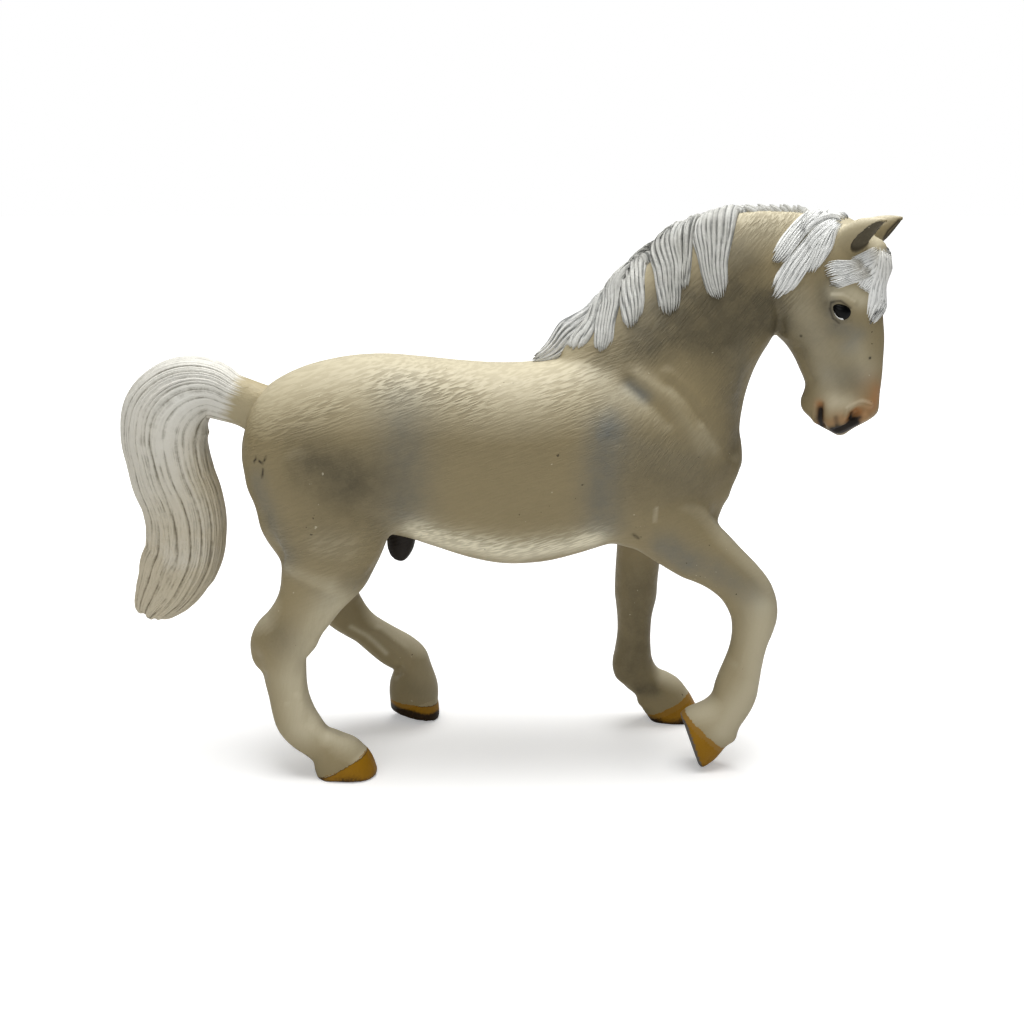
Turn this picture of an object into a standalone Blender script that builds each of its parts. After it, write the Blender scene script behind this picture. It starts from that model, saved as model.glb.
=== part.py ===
"""A trotting horse figure with separate body, head, legs, hooves, hair pieces and eyes.

Metres, +Z up. The horse faces +X, its right side faces -Y, and it stands on Z = 0.
Tables list hand-chosen shares of the named sizes above them.
"""
import math

import bmesh
import bpy
import numpy as np
from mathutils import Matrix, Vector
from mathutils.bvhtree import BVHTree

MM = 0.001

# Trunk, from the rump to the chest
TRUNK_LENGTH = 90 * MM
TRUNK_HEIGHT = 56 * MM
TRUNK_DEPTH = 36 * MM
TRUNK_WIDTH = 31 * MM

# Neck, from the middle of the shoulders to the poll
NECK_REACH = 28.5 * MM
NECK_RISE = 29.5 * MM
NECK_DEPTH = 40 * MM
NECK_WIDTH = 24 * MM

# Head, hanging from the poll, and its turn towards the right side
HEAD_LENGTH = 38.5 * MM
HEAD_DEPTH = 21.0 * MM
HEAD_WIDTH = 14 * MM
HEAD_TURN = 20.0
EAR_LENGTH = 9.0 * MM
EAR_WIDTH = 5.2 * MM
EAR_THICKNESS = 3.7 * MM
EAR_SPREAD = 8.4 * MM
EAR_HOLLOW = 1.5 * MM
EYE_LENGTH = 3.2 * MM
EYE_HEIGHT = 2.3 * MM
EYE_BULGE = 1.3 * MM
EYE_TILT = 30.0
NOSTRIL_LENGTH = 2.8 * MM
NOSTRIL_WIDTH = 1.7 * MM
NOSTRIL_SINK = 0.9 * MM
NOSTRIL_TILT = -20.0
MOUTH_LENGTH = 5.0 * MM
MOUTH_GAP = 0.8 * MM
MOUTH_TILT = 12.0

# Hind legs
HIND_HIP_HEIGHT = 52 * MM
HIND_LEG_SWING = 10 * MM
HIND_LEG_DEPTH = 28 * MM
HIND_LEG_WIDTH = 14 * MM
HIND_HIP_SPREAD = 17 * MM
HIND_HOOF_SPREAD = 27 * MM

# Forelegs
FORE_HIP_HEIGHT = 50 * MM
FORELEG_SWING = 10 * MM
FORELEG_DEPTH = 17 * MM
FORELEG_WIDTH = 12 * MM
FORE_HIP_SPREAD = 16 * MM
FORE_HOOF_SPREAD = 26 * MM

# Hooves
HOOF_LENGTH = 10.2 * MM
HOOF_WIDTH = 9.2 * MM
HOOF_HEIGHT = 2.7 * MM
HOOF_RAKE = 0.9 * MM
HOOF_EDGE = 0.5 * MM
TOE_FLAT = 0.3 * MM
CORONET_SLOPE = 28.0

# Tail
TAIL_REACH = 28 * MM
TAIL_DROP = 42 * MM
TAIL_DEPTH = 18 * MM
TAIL_WIDTH = 12 * MM

# Mane, poll lock and forelock
LOCK_WIDTH = 5.6 * MM
LOCK_THICKNESS = 2.4 * MM
FORELOCK_THICKNESS = 1.5 * MM
CREST_THICKNESS = 3.2 * MM
CREST_WIDTH = 4.0 * MM

# Sheath under the belly
SHEATH_LENGTH = 5.4 * MM
SHEATH_DROP = 9.0 * MM
SHEATH_WIDTH = 4.4 * MM
SHEATH_TILT = 8.0

# Fits: the gap between neighbours, the pegs that join them, and how far a cut runs past
GAP = 0.3 * MM
PEG_RADIUS = 2.0 * MM
PEG_LENGTH = 6.0 * MM
PEG_CLEARANCE = 0.2 * MM
OVERRUN = 30 * MM
WELD = 0.0001 * MM

# Mesh sizes: the cells that forms melt into, smoothing rounds and the faces that are kept
BODY_VOXEL = 0.62 * MM
HAIR_VOXEL = 0.5 * MM
BODY_SMOOTH_COUNT = 3
TAIL_SMOOTH_COUNT = 2
HAIR_SMOOTH_COUNT = 1
BODY_KEEP_SHARE = 0.047
HAIR_KEEP_SHARE = 0.10
TAIL_KEEP_SHARE = 0.06
RING_POINTS = 28
LOCK_POINTS = 14
HOOF_POINTS = 32
PEG_POINTS = 20
BALL_POINTS = 18
BALL_RINGS = 10
STATION_STEPS = 4

# Cross-sections: how square they are, where 2 is an ellipse, and how much wider on top
TRUNK_SQUARE_FACTOR = 2.2
NECK_SQUARE_FACTOR = 2.0
HEAD_SQUARE_FACTOR = 2.3
EAR_SQUARE_FACTOR = 2.0
LEG_SQUARE_FACTOR = 2.2
TAIL_SQUARE_FACTOR = 2.3
trunk_skew_share = -0.05
neck_skew_share = -0.22

# Trunk: place along the length, depth above and below the middle, width, wider low down
trunk_shares = [
    (0.000, 0.120, 0.010, 0.26),
    (0.020, 0.270, 0.180, 0.56),
    (0.055, 0.375, 0.290, 0.77),
    (0.120, 0.460, 0.340, 0.90),
    (0.200, 0.510, 0.360, 0.97),
    (0.280, 0.526, 0.370, 0.98),
    (0.360, 0.512, 0.415, 0.95),
    (0.440, 0.492, 0.480, 0.97),
    (0.520, 0.481, 0.528, 1.00),
    (0.600, 0.492, 0.525, 1.00),
    (0.680, 0.530, 0.475, 0.97),
    (0.760, 0.540, 0.410, 0.92),
    (0.840, 0.490, 0.370, 0.84),
    (0.910, 0.395, 0.285, 0.72),
    (0.960, 0.270, 0.170, 0.54),
    (1.000, 0.110, 0.030, 0.28),
]

# Haunch, shoulder and breast: place on the trunk, place across it, radii in its length,
# width and depth, and tilt in degrees
trunk_mass_shares = [
    ((0.155, -0.12), 0.24, (0.125, 0.255, 0.43), 8),
    ((0.810, -0.07), 0.19, (0.105, 0.245, 0.37), 24),
    ((0.888, -0.15), 0.13, (0.080, 0.200, 0.34), 14),
]
sheath_share = (0.312, -0.42)

# Neck: reach, rise, depth, width, and the crest's direction in degrees from +X
neck_base_share = (0.794, 1.109)
neck_shares = [
    (0.000, 0.000, 0.980, 1.000, 138.0),
    (0.140, 0.205, 0.930, 0.917, 138.0),
    (0.234, 0.405, 0.822, 0.817, 134.0),
    (0.357, 0.603, 0.727, 0.717, 128.0),
    (0.515, 0.778, 0.660, 0.650, 117.0),
    (0.680, 0.888, 0.590, 0.600, 106.0),
    (0.835, 0.949, 0.495, 0.560, 94.0),
    (1.000, 1.000, 0.400, 0.500, 86.0),
]

# Head: drop from the poll, the back and the front of the profile, width, wider in front
head_poll_share = (0.04, 0.365)
head_shares = [
    (0.000, -0.060, 0.260, 0.42, 0.00),
    (0.050, -0.160, 0.420, 0.66, 0.00),
    (0.120, -0.260, 0.500, 0.80, 0.05),
    (0.200, -0.320, 0.560, 0.88, 0.10),
    (0.290, -0.340, 0.590, 0.95, 0.14),
    (0.380, -0.330, 0.610, 1.00, 0.12),
    (0.470, -0.310, 0.630, 0.96, -0.02),
    (0.530, -0.270, 0.645, 0.87, -0.12),
    (0.580, -0.170, 0.650, 0.79, -0.17),
    (0.640, -0.090, 0.650, 0.71, -0.18),
    (0.700, -0.035, 0.650, 0.64, -0.14),
    (0.760, 0.015, 0.645, 0.61, -0.05),
    (0.800, 0.010, 0.640, 0.60, 0.02),
    (0.850, -0.015, 0.640, 0.62, 0.05),
    (0.890, 0.015, 0.630, 0.64, 0.08),
    (0.925, 0.080, 0.560, 0.62, 0.08),
    (0.955, 0.150, 0.470, 0.54, 0.05),
    (0.980, 0.240, 0.410, 0.40, 0.02),
    (1.000, 0.300, 0.370, 0.22, 0.00),
]

# Cheeks: forward, across and down in the head, and their radii
cheek_share = (-0.02, 0.46, 0.43)
cheek_radius_share = (0.24, 0.25, 0.150)

# Eyes: forward and down in the head, and how much of the bulge is sunk in the socket
eye_share = (0.30, 0.405)
eye_sink_share = 0.62

# Ears: foot forward and down in the head on the right and the left side, lean forward,
# outwards and up, then place along the ear and its width
ear_foot_shares = {-1: (0.27, 0.125), 1: (0.34, 0.125)}
ear_lean_shares = (0.80, 0.20, 0.45)
ear_shares = [
    (-0.15, 0.60),
    (0.05, 0.84),
    (0.30, 1.00),
    (0.55, 0.94),
    (0.78, 0.62),
    (0.94, 0.30),
    (1.02, 0.12),
]

# Ear hollow: its middle along the ear, its reach along and across the ear
ear_hollow_shares = (0.48, 0.31, 0.30)

# Nostrils and mouth: forward, across and down in the head
nostril_share = (0.465, 0.53, 0.895)
mouth_share = (0.185, 0.0, 1.0)

# Legs: swing forward of the hip, height, depth, width
hip_shares = {"hind": 0.172, "fore": 0.817}
leg_shares = {
    "right_hindleg": [
        (0.06, 1.000, 0.900, 0.86),
        (0.00, 0.910, 0.900, 0.92),
        (0.02, 0.855, 0.810, 0.92),
        (0.01, 0.790, 0.695, 0.88),
        (-0.03, 0.745, 0.605, 0.82),
        (-0.13, 0.700, 0.535, 0.76),
        (-0.22, 0.662, 0.470, 0.71),
        (-0.31, 0.625, 0.415, 0.67),
        (-0.41, 0.590, 0.385, 0.64),
        (-0.53, 0.556, 0.367, 0.61),
        (-0.67, 0.520, 0.362, 0.60),
        (-0.82, 0.478, 0.395, 0.60),
        (-0.88, 0.430, 0.375, 0.55),
        (-0.82, 0.385, 0.310, 0.50),
        (-0.77, 0.333, 0.270, 0.47),
        (-0.73, 0.288, 0.256, 0.47),
        (-0.68, 0.244, 0.264, 0.49),
        (-0.59, 0.195, 0.275, 0.51),
        (-0.43, 0.155, 0.262, 0.51),
        (-0.22, 0.120, 0.235, 0.50),
        (-0.06, 0.100, 0.270, 0.53),
        (0.06, 0.077, 0.330, 0.58),
        (0.18, 0.048, 0.365, 0.62),
        (0.26, 0.020, 0.360, 0.62),
    ],
    "left_hindleg": [
        (0.10, 1.000, 0.900, 0.90),
        (0.05, 0.860, 0.770, 0.90),
        (0.00, 0.740, 0.560, 0.80),
        (-0.11, 0.640, 0.440, 0.71),
        (-0.17, 0.560, 0.375, 0.65),
        (-0.12, 0.490, 0.330, 0.60),
        (0.06, 0.438, 0.290, 0.56),
        (0.24, 0.402, 0.250, 0.51),
        (0.42, 0.373, 0.225, 0.48),
        (0.63, 0.340, 0.240, 0.48),
        (0.90, 0.300, 0.264, 0.50),
        (1.12, 0.273, 0.265, 0.52),
        (1.29, 0.248, 0.248, 0.53),
        (1.33, 0.222, 0.255, 0.53),
        (1.34, 0.192, 0.290, 0.55),
        (1.34, 0.155, 0.335, 0.58),
        (1.34, 0.110, 0.350, 0.60),
        (1.34, 0.060, 0.335, 0.60),
    ],
    "right_foreleg": [
        (0.00, 1.060, 0.960, 0.70),
        (0.14, 0.960, 0.920, 0.84),
        (0.42, 0.895, 0.840, 0.88),
        (0.77, 0.830, 0.715, 0.85),
        (1.00, 0.798, 0.640, 0.80),
        (1.28, 0.755, 0.555, 0.75),
        (1.56, 0.704, 0.525, 0.71),
        (1.76, 0.650, 0.530, 0.69),
        (1.86, 0.590, 0.505, 0.66),
        (1.85, 0.535, 0.450, 0.60),
        (1.81, 0.490, 0.400, 0.54),
        (1.76, 0.440, 0.385, 0.52),
        (1.70, 0.390, 0.410, 0.53),
        (1.63, 0.335, 0.450, 0.58),
        (1.58, 0.290, 0.470, 0.62),
        (1.52, 0.250, 0.450, 0.62),
        (1.38, 0.208, 0.460, 0.63),
        (1.22, 0.172, 0.530, 0.68),
        (1.03, 0.140, 0.600, 0.72),
        (0.85, 0.115, 0.590, 0.70),
    ],
    "left_foreleg": [
        (0.12, 1.060, 0.860, 0.70),
        (0.06, 0.930, 0.700, 0.84),
        (-0.02, 0.830, 0.570, 0.80),
        (-0.06, 0.740, 0.510, 0.74),
        (-0.09, 0.640, 0.490, 0.72),
        (-0.10, 0.580, 0.485, 0.70),
        (-0.10, 0.530, 0.475, 0.67),
        (-0.11, 0.455, 0.405, 0.58),
        (-0.11, 0.375, 0.385, 0.54),
        (-0.12, 0.295, 0.425, 0.58),
        (-0.11, 0.240, 0.470, 0.62),
        (0.03, 0.193, 0.435, 0.62),
        (0.20, 0.160, 0.400, 0.60),
        (0.34, 0.135, 0.480, 0.64),
        (0.46, 0.108, 0.550, 0.68),
        (0.58, 0.075, 0.560, 0.70),
        (0.70, 0.040, 0.560, 0.70),
    ],
}

# Hooves: sole centre forward of the hip in swings, the sole's pitch in degrees, and how
# far out of the middle plane the hoof is set, in its spread
hoof_shares = {
    "right_hindleg": (0.35, 0.0, 1.0),
    "left_hindleg": (1.34, -14.0, 1.0),
    "right_foreleg": (0.79, -70.0, 0.74),
    "left_foreleg": (0.74, 0.0, 1.0),
}

# Hoof outlines at the sole, above its edge, half way up and at the coronet, how pointed
# an outline is, and how much narrower the heel is than the toe
hoof_ring_shares = (0.95, 1.00, 0.97, 0.93)
hoof_point_share = 0.92
hoof_heel_share = 0.07

# Seams between trunk and legs: swing and height of the middle, slope in degrees,
# and how far the seam's block reaches behind and ahead of it in leg depths
seam_shares = {
    "right_hindleg": (0.10, 0.745, 0.0, 0.62, 0.62),
    "left_hindleg": (0.25, 0.745, 0.0, 0.62, 0.62),
    "right_foreleg": (0.60, 0.860, 26.0, 0.62, 1.50),
    "left_foreleg": (0.00, 0.800, 0.0, 0.62, 0.62),
}
seam_inset_share = 0.20

# Seam between trunk and head: its foot at the throat and its top at the poll, in neck sizes
throat_seam_share = (0.790, 0.600)
poll_seam_share = (1.053, 1.322)

# Tail: reach behind the dock, drop below it, depth, width
tail_root_share = (0.083, 0.245)
tail_shares = [
    (0.000, 0.030, 0.420, 0.52),
    (0.120, 0.000, 0.450, 0.56),
    (0.240, -0.030, 0.470, 0.60),
    (0.350, -0.055, 0.500, 0.66),
    (0.460, -0.085, 0.600, 0.74),
    (0.570, -0.080, 0.720, 0.82),
    (0.670, -0.045, 0.820, 0.90),
    (0.750, 0.020, 0.880, 0.96),
    (0.785, 0.110, 0.860, 1.00),
    (0.775, 0.200, 0.830, 1.00),
    (0.745, 0.300, 0.820, 0.99),
    (0.705, 0.385, 0.820, 0.97),
    (0.685, 0.470, 0.825, 0.94),
    (0.690, 0.560, 0.820, 0.90),
    (0.712, 0.640, 0.790, 0.84),
    (0.755, 0.705, 0.750, 0.77),
    (0.825, 0.780, 0.660, 0.66),
    (0.905, 0.842, 0.530, 0.52),
    (0.970, 0.893, 0.360, 0.38),
    (1.005, 0.925, 0.170, 0.24),
]

# Locks: how far their middle stands off the skin, in lock thicknesses
lock_lift_share = 0.22

# Locks of the mane on each side: the root on the crest and the tip, both in neck sizes,
# the bend of the middle and the width
near_lock_shares = [
    ((-0.50, 0.58), (-0.50, 0.52), 0.00, 0.80),
    ((-0.42, 0.66), (-0.43, 0.50), 0.02, 0.95),
    ((-0.30, 0.80), (-0.29, 0.49), 0.03, 1.05),
    ((-0.14, 0.97), (-0.11, 0.62), 0.03, 1.00),
    ((0.00, 1.10), (0.00, 0.82), 0.02, 0.80),
    ((0.12, 1.18), (0.14, 0.70), 0.03, 1.05),
    ((0.25, 1.25), (0.26, 0.91), 0.02, 0.85),
    ((0.42, 1.31), (0.46, 0.78), 0.02, 1.15),
    ((0.51, 1.33), (0.52, 1.03), 0.01, 0.75),
]
far_lock_shares = [
    ((0.60, 1.33), (0.48, 0.92), 0.04, 1.15),
    ((0.76, 1.34), (0.66, 0.96), 0.04, 1.15),
    ((0.90, 1.33), (0.84, 1.00), 0.04, 1.10),
    ((0.30, 1.26), (0.34, 1.00), 0.02, 1.10),
    ((0.06, 1.12), (0.10, 0.90), 0.02, 1.10),
    ((-0.18, 0.92), (-0.14, 0.72), 0.02, 1.10),
]
poll_lock_shares = [
    ((1.10, 1.32), (0.77, 0.80), 0.05, 1.20),
    ((1.00, 1.33), (0.74, 1.03), 0.06, 0.95),
    ((1.16, 1.27), (1.00, 0.95), 0.02, 0.95),
]
crest_shares = [(-0.66, 0.45), (-0.50, 0.56), (-0.32, 0.74), (-0.14, 0.95), (0.05, 1.13),
                (0.28, 1.26), (0.54, 1.33), (0.78, 1.355), (0.98, 1.34)]

# Forelock: tips down the face, in head sizes forward of the poll, across and down
forelock_shares = [
    ((0.36, -0.40, 0.20), (0.02, -0.90, 0.27), 0.80),
    ((0.40, -0.30, 0.18), (0.22, -0.90, 0.31), 0.95),
    ((0.42, -0.15, 0.14), (0.44, -0.80, 0.32), 0.95),
    ((0.44, -0.10, 0.13), (0.56, -0.55, 0.49), 1.00),
    ((0.44, 0.10, 0.13), (0.62, 0.15, 0.42), 1.10),
    ((0.42, 0.30, 0.16), (0.50, 0.70, 0.34), 1.00),
]

# Tapers of the forelock and of the other locks: place along a lock and width
forelock_taper_shares = ((0.0, 0.7), (0.25, 1.0), (0.5, 1.0), (0.75, 0.75), (1.0, 0.25))
lock_taper_shares = ((0.0, 0.75), (0.15, 0.95), (0.35, 1.05), (0.55, 1.0), (0.75, 0.80),
                     (0.90, 0.55), (1.0, 0.25))

BEIGE = (0.56, 0.47, 0.35)
WHITE = (0.86, 0.86, 0.84)
TAIL_GREY = (0.66, 0.63, 0.58)
OCHRE = (0.55, 0.33, 0.05)
BLACK = (0.012, 0.012, 0.012)
MATT = 0.55
GLOSS = 0.12
SHARP_ANGLE = 40.0


def make_material(name, colour, roughness):
    """A plain painted vinyl finish."""
    material = bpy.data.materials.new(name)
    material.use_nodes = True
    shader = material.node_tree.nodes["Principled BSDF"]
    shader.inputs["Base Color"].default_value = (*colour, 1.0)
    shader.inputs["Roughness"].default_value = roughness
    shader.inputs["Metallic"].default_value = 0.0
    return material


def add_mesh(name, points, faces, group):
    """Turn points and faces into an object whose faces point outwards."""
    mesh = bpy.data.meshes.new(name)
    mesh.from_pydata([tuple(point) for point in points], [], faces)
    tidy = bmesh.new()
    tidy.from_mesh(mesh)
    bmesh.ops.recalc_face_normals(tidy, faces=tidy.faces)
    tidy.to_mesh(mesh)
    tidy.free()
    item = bpy.data.objects.new(name, mesh)
    group.objects.link(item)
    return item


def signed_power(value, power):
    """Raise the size of a number to a power and keep its sign."""
    return math.copysign(abs(value) ** power, value)


def section(centre, normal, above, below, width, squareness, skew=0.0):
    """A rounded cross-section in the plane of its normal and Y."""
    ring = []
    for index in range(RING_POINTS):
        turn = 2 * math.pi * index / RING_POINTS
        rise = signed_power(math.sin(turn), 2 / squareness)
        reach = signed_power(math.cos(turn), 2 / squareness) * (1 + skew * rise)
        height = above if rise > 0 else below
        ring.append(centre + normal * (rise * height) + Vector((0, reach * width, 0)))
    return ring


def loft(name, rings, group):
    """Skin a row of rings of equal count and cap both ends."""
    count = len(rings[0])
    points = [point for ring in rings for point in ring]
    faces = [list(range(count))[::-1], list(range(len(points) - count, len(points)))]
    for level in range(len(rings) - 1):
        low = level * count
        for index in range(count):
            after = (index + 1) % count
            faces.append([low + index, low + after, low + count + after, low + count + index])
    return add_mesh(name, points, faces, group)


def smooth_rows(rows):
    """Put a smooth curve through every column of a table."""
    table = np.array(rows, dtype=float)
    ends = (2 * table[0] - table[1], 2 * table[-1] - table[-2])
    padded = np.vstack([ends[0], table, ends[1]])
    result = []
    for index in range(1, len(padded) - 2):
        before, start, end, after = padded[index - 1:index + 3]
        for step in range(STATION_STEPS):
            part = step / STATION_STEPS
            slope = (end - before) * part
            bend = (2 * before - 5 * start + 4 * end - after) * part ** 2
            twist = (3 * start - before - 3 * end + after) * part ** 3
            result.append((2 * start + slope + bend + twist) / 2)
    result.append(table[-1])
    return result


def path_normals(centres):
    """For each point of a path in an upright plane, the direction square to the path."""
    normals = []
    for index in range(len(centres)):
        ahead = centres[min(index + 1, len(centres) - 1)]
        behind = centres[max(index - 1, 0)]
        run = ahead - behind
        normals.append(Vector((-run.z, 0, run.x)).normalized())
    return normals


def limb(name, rows, squareness, group):
    """Loft rows of x, y, z, half depth and half width along their own path."""
    rows = smooth_rows(rows)
    centres = [Vector(row[:3]) for row in rows]
    rings = []
    for row, centre, normal in zip(rows, centres, path_normals(centres)):
        rings.append(section(centre, normal, row[3], row[3], row[4], squareness))
    return loft(name, rings, group)


def blob(name, centre, radii, group, tilt=0.0):
    """An ellipsoid, tilted about Y by degrees."""
    mesh = bpy.data.meshes.new(name)
    ball = bmesh.new()
    bmesh.ops.create_uvsphere(ball, u_segments=BALL_POINTS, v_segments=BALL_RINGS, radius=1.0)
    turn = Matrix.Rotation(math.radians(tilt), 4, "Y")
    place = Matrix.Translation(centre) @ turn @ Matrix.Diagonal((*radii, 1.0))
    bmesh.ops.transform(ball, matrix=place, verts=ball.verts)
    ball.to_mesh(mesh)
    ball.free()
    item = bpy.data.objects.new(name, mesh)
    group.objects.link(item)
    return item


def rod(name, start, end, radius, group):
    """A round bar between two points."""
    mesh = bpy.data.meshes.new(name)
    bar = bmesh.new()
    run = end - start
    bmesh.ops.create_cone(bar, cap_ends=True, segments=PEG_POINTS, radius1=radius,
                          radius2=radius, depth=run.length)
    turn = Vector((0, 0, 1)).rotation_difference(run).to_matrix().to_4x4()
    place = Matrix.Translation((start + end) / 2) @ turn
    bmesh.ops.transform(bar, matrix=place, verts=bar.verts)
    bar.to_mesh(mesh)
    bar.free()
    item = bpy.data.objects.new(name, mesh)
    group.objects.link(item)
    return item


def apply_modifiers(item):
    """Replace the mesh by what its modifiers make."""
    bpy.context.view_layer.update()
    evaluated = item.evaluated_get(bpy.context.evaluated_depsgraph_get())
    item_mesh = bpy.data.meshes.new_from_object(evaluated)
    item.modifiers.clear()
    item.data = item_mesh
    return item


def boolean(item, tool, operation, crossing=False):
    """Join, cut or trim an item with a tool, which may cross itself."""
    step = item.modifiers.new(operation.lower(), "BOOLEAN")
    step.operation = operation
    step.solver = "EXACT"
    step.use_self = crossing
    step.object = tool
    return apply_modifiers(item)


def copy_of(item, name, group):
    """A separate copy with its own mesh."""
    twin = bpy.data.objects.new(name, item.data.copy())
    group.objects.link(twin)
    return twin


def grown(item, name, distance, group, voxel=None):
    """A copy whose surface is moved outwards, melted anew where a voxel size is given."""
    twin = copy_of(item, name, group)
    swell = twin.modifiers.new("swell", "DISPLACE")
    swell.strength = distance
    swell.mid_level = 0.0
    if voxel:
        melt = twin.modifiers.new("melt", "REMESH")
        melt.mode = "VOXEL"
        melt.voxel_size = voxel
    return apply_modifiers(twin)


def discard(*items):
    """Remove shapes that were only needed to build others."""
    for item in items:
        bpy.data.objects.remove(item, do_unlink=True)


def fuse(name, items, voxel, keep_share, rounds, group):
    """Melt overlapping shapes into one smooth closed skin."""
    points, faces = [], []
    for item in items:
        start = len(points)
        points.extend(vertex.co.copy() for vertex in item.data.vertices)
        for face in item.data.polygons:
            faces.append([start + corner for corner in face.vertices])
    mesh = bpy.data.meshes.new(name)
    mesh.from_pydata([tuple(point) for point in points], [], faces)
    fused = bpy.data.objects.new(name, mesh)
    group.objects.link(fused)
    melt = fused.modifiers.new("melt", "REMESH")
    melt.mode = "VOXEL"
    melt.voxel_size = voxel
    calm = fused.modifiers.new("calm", "SMOOTH")
    calm.factor = 0.5
    calm.iterations = rounds
    thin = fused.modifiers.new("thin", "DECIMATE")
    thin.ratio = keep_share
    apply_modifiers(fused)
    discard(*items)
    return keep_largest(fused)


def keep_largest(item):
    """Drop crumbs that a cut leaves beside the main body."""
    work = bmesh.new()
    work.from_mesh(item.data)
    left = set(work.verts)
    islands = []
    while left:
        seed = left.pop()
        island, edge_of = {seed}, [seed]
        while edge_of:
            for edge in edge_of.pop().link_edges:
                for vertex in edge.verts:
                    if vertex in left:
                        left.discard(vertex)
                        island.add(vertex)
                        edge_of.append(vertex)
        islands.append(island)
    islands.sort(key=len)
    crumbs = [vertex for island in islands[:-1] for vertex in island]
    bmesh.ops.delete(work, geom=crumbs, context="VERTS")
    work.to_mesh(item.data)
    work.free()
    return item


def plane_cut(item, point, normal):
    """Cut away what lies behind a plane and close the cut."""
    work = bmesh.new()
    work.from_mesh(item.data)
    parts = list(work.verts) + list(work.edges) + list(work.faces)
    cut = bmesh.ops.bisect_plane(work, geom=parts, dist=WELD, plane_co=point,
                                 plane_no=normal, clear_inner=True)
    rim = [piece for piece in cut["geom_cut"] if isinstance(piece, bmesh.types.BMEdge)]
    bmesh.ops.holes_fill(work, edges=rim, sides=0)
    bmesh.ops.recalc_face_normals(work, faces=work.faces)
    work.to_mesh(item.data)
    work.free()
    return item


def trunk_point(along_share, rise_share):
    """A place on the trunk's middle plane, in shares of its length and depth."""
    return Vector((along_share * TRUNK_LENGTH, 0, TRUNK_HEIGHT + rise_share * TRUNK_DEPTH))


def neck_point(reach_share, rise_share):
    """A place on the neck's middle plane, in shares of its reach and rise."""
    base = Vector((neck_base_share[0] * TRUNK_LENGTH, 0, neck_base_share[1] * TRUNK_HEIGHT))
    return base + Vector((reach_share * NECK_REACH, 0, rise_share * NECK_RISE))


def head_matrix():
    """The head's place: its origin at the poll, turned towards the right side."""
    poll = neck_point(1.0, 1.0)
    poll += Vector((head_poll_share[0] * HEAD_DEPTH, 0, head_poll_share[1] * HEAD_DEPTH))
    return Matrix.Translation(poll) @ Matrix.Rotation(math.radians(-HEAD_TURN), 4, "Z")


def head_local(forward_share, across_share, down_share):
    """A place in the head's own frame, in shares of its depth, half width and length."""
    return Vector((forward_share * HEAD_DEPTH, across_share * HEAD_WIDTH / 2,
                   -down_share * HEAD_LENGTH))


def head_point(forward_share, across_share, down_share):
    """A place in the head, in shares of its depth, half width and length."""
    return head_matrix() @ head_local(forward_share, across_share, down_share)


def build_trunk(group):
    """The barrel from the rump to the chest, with a slightly wider belly."""
    rings = []
    for along, above, below, width in smooth_rows(trunk_shares):
        centre = trunk_point(along, 0)
        rings.append(section(centre, Vector((0, 0, 1)), above * TRUNK_DEPTH,
                             below * TRUNK_DEPTH, width * TRUNK_WIDTH / 2, TRUNK_SQUARE_FACTOR,
                             trunk_skew_share))
    return loft("trunk_form", rings, group)


def build_neck(group):
    """The arched neck, narrower at the crest than at the throat."""
    rings = []
    for reach, rise, depth, width, crest in smooth_rows(neck_shares):
        turn = math.radians(crest)
        normal = Vector((math.cos(turn), 0, math.sin(turn)))
        half = depth * NECK_DEPTH / 2
        rings.append(section(neck_point(reach, rise), normal, half, half,
                             width * NECK_WIDTH / 2, NECK_SQUARE_FACTOR, neck_skew_share))
    return loft("neck_form", rings, group)


def build_head(group):
    """The skull and muzzle as level slices from the poll to the lips."""
    rings = []
    place = head_matrix()
    for drop, back, front, width, skew in smooth_rows(head_shares):
        middle = (back + front) / 2 * HEAD_DEPTH
        half = (front - back) / 2 * HEAD_DEPTH
        ring = section(Vector((middle, 0, -drop * HEAD_LENGTH)), Vector((1, 0, 0)), half, half,
                       width * HEAD_WIDTH / 2, HEAD_SQUARE_FACTOR, skew)
        rings.append([place @ point for point in ring])
    return loft("head_form", rings, group)


def ear_lean(side):
    """The direction in which an ear points, in the head's own frame."""
    forward, outwards, upwards = ear_lean_shares
    return Vector((forward, side * outwards, upwards)).normalized()


def ear_foot(side):
    """Where an ear starts, in the head's own frame."""
    forward, down = ear_foot_shares[side]
    return Vector((forward * HEAD_DEPTH, side * EAR_SPREAD / 2, -down * HEAD_LENGTH))


def build_ear(name, side, group):
    """A pointed ear leaning forward from beside the poll."""
    place = head_matrix()
    foot = ear_foot(side)
    lean = ear_lean(side)
    rings = []
    for along, width in smooth_rows(ear_shares):
        centre = foot + lean * (along * EAR_LENGTH)
        half = width * EAR_WIDTH / 2
        ring = section(centre, Vector((-lean.z, 0, lean.x)), half, half,
                       width * EAR_THICKNESS / 2, EAR_SQUARE_FACTOR)
        rings.append([place @ point for point in ring])
    return loft(name, rings, group)


def cut_in_head(head, local, radii, tilt, group):
    """Hollow the head out with an ellipsoid placed in the head's own frame."""
    tool = blob("hollow", local, radii, group, tilt)
    tool.data.transform(head_matrix())
    boolean(head, tool, "DIFFERENCE")
    discard(tool)


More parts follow.
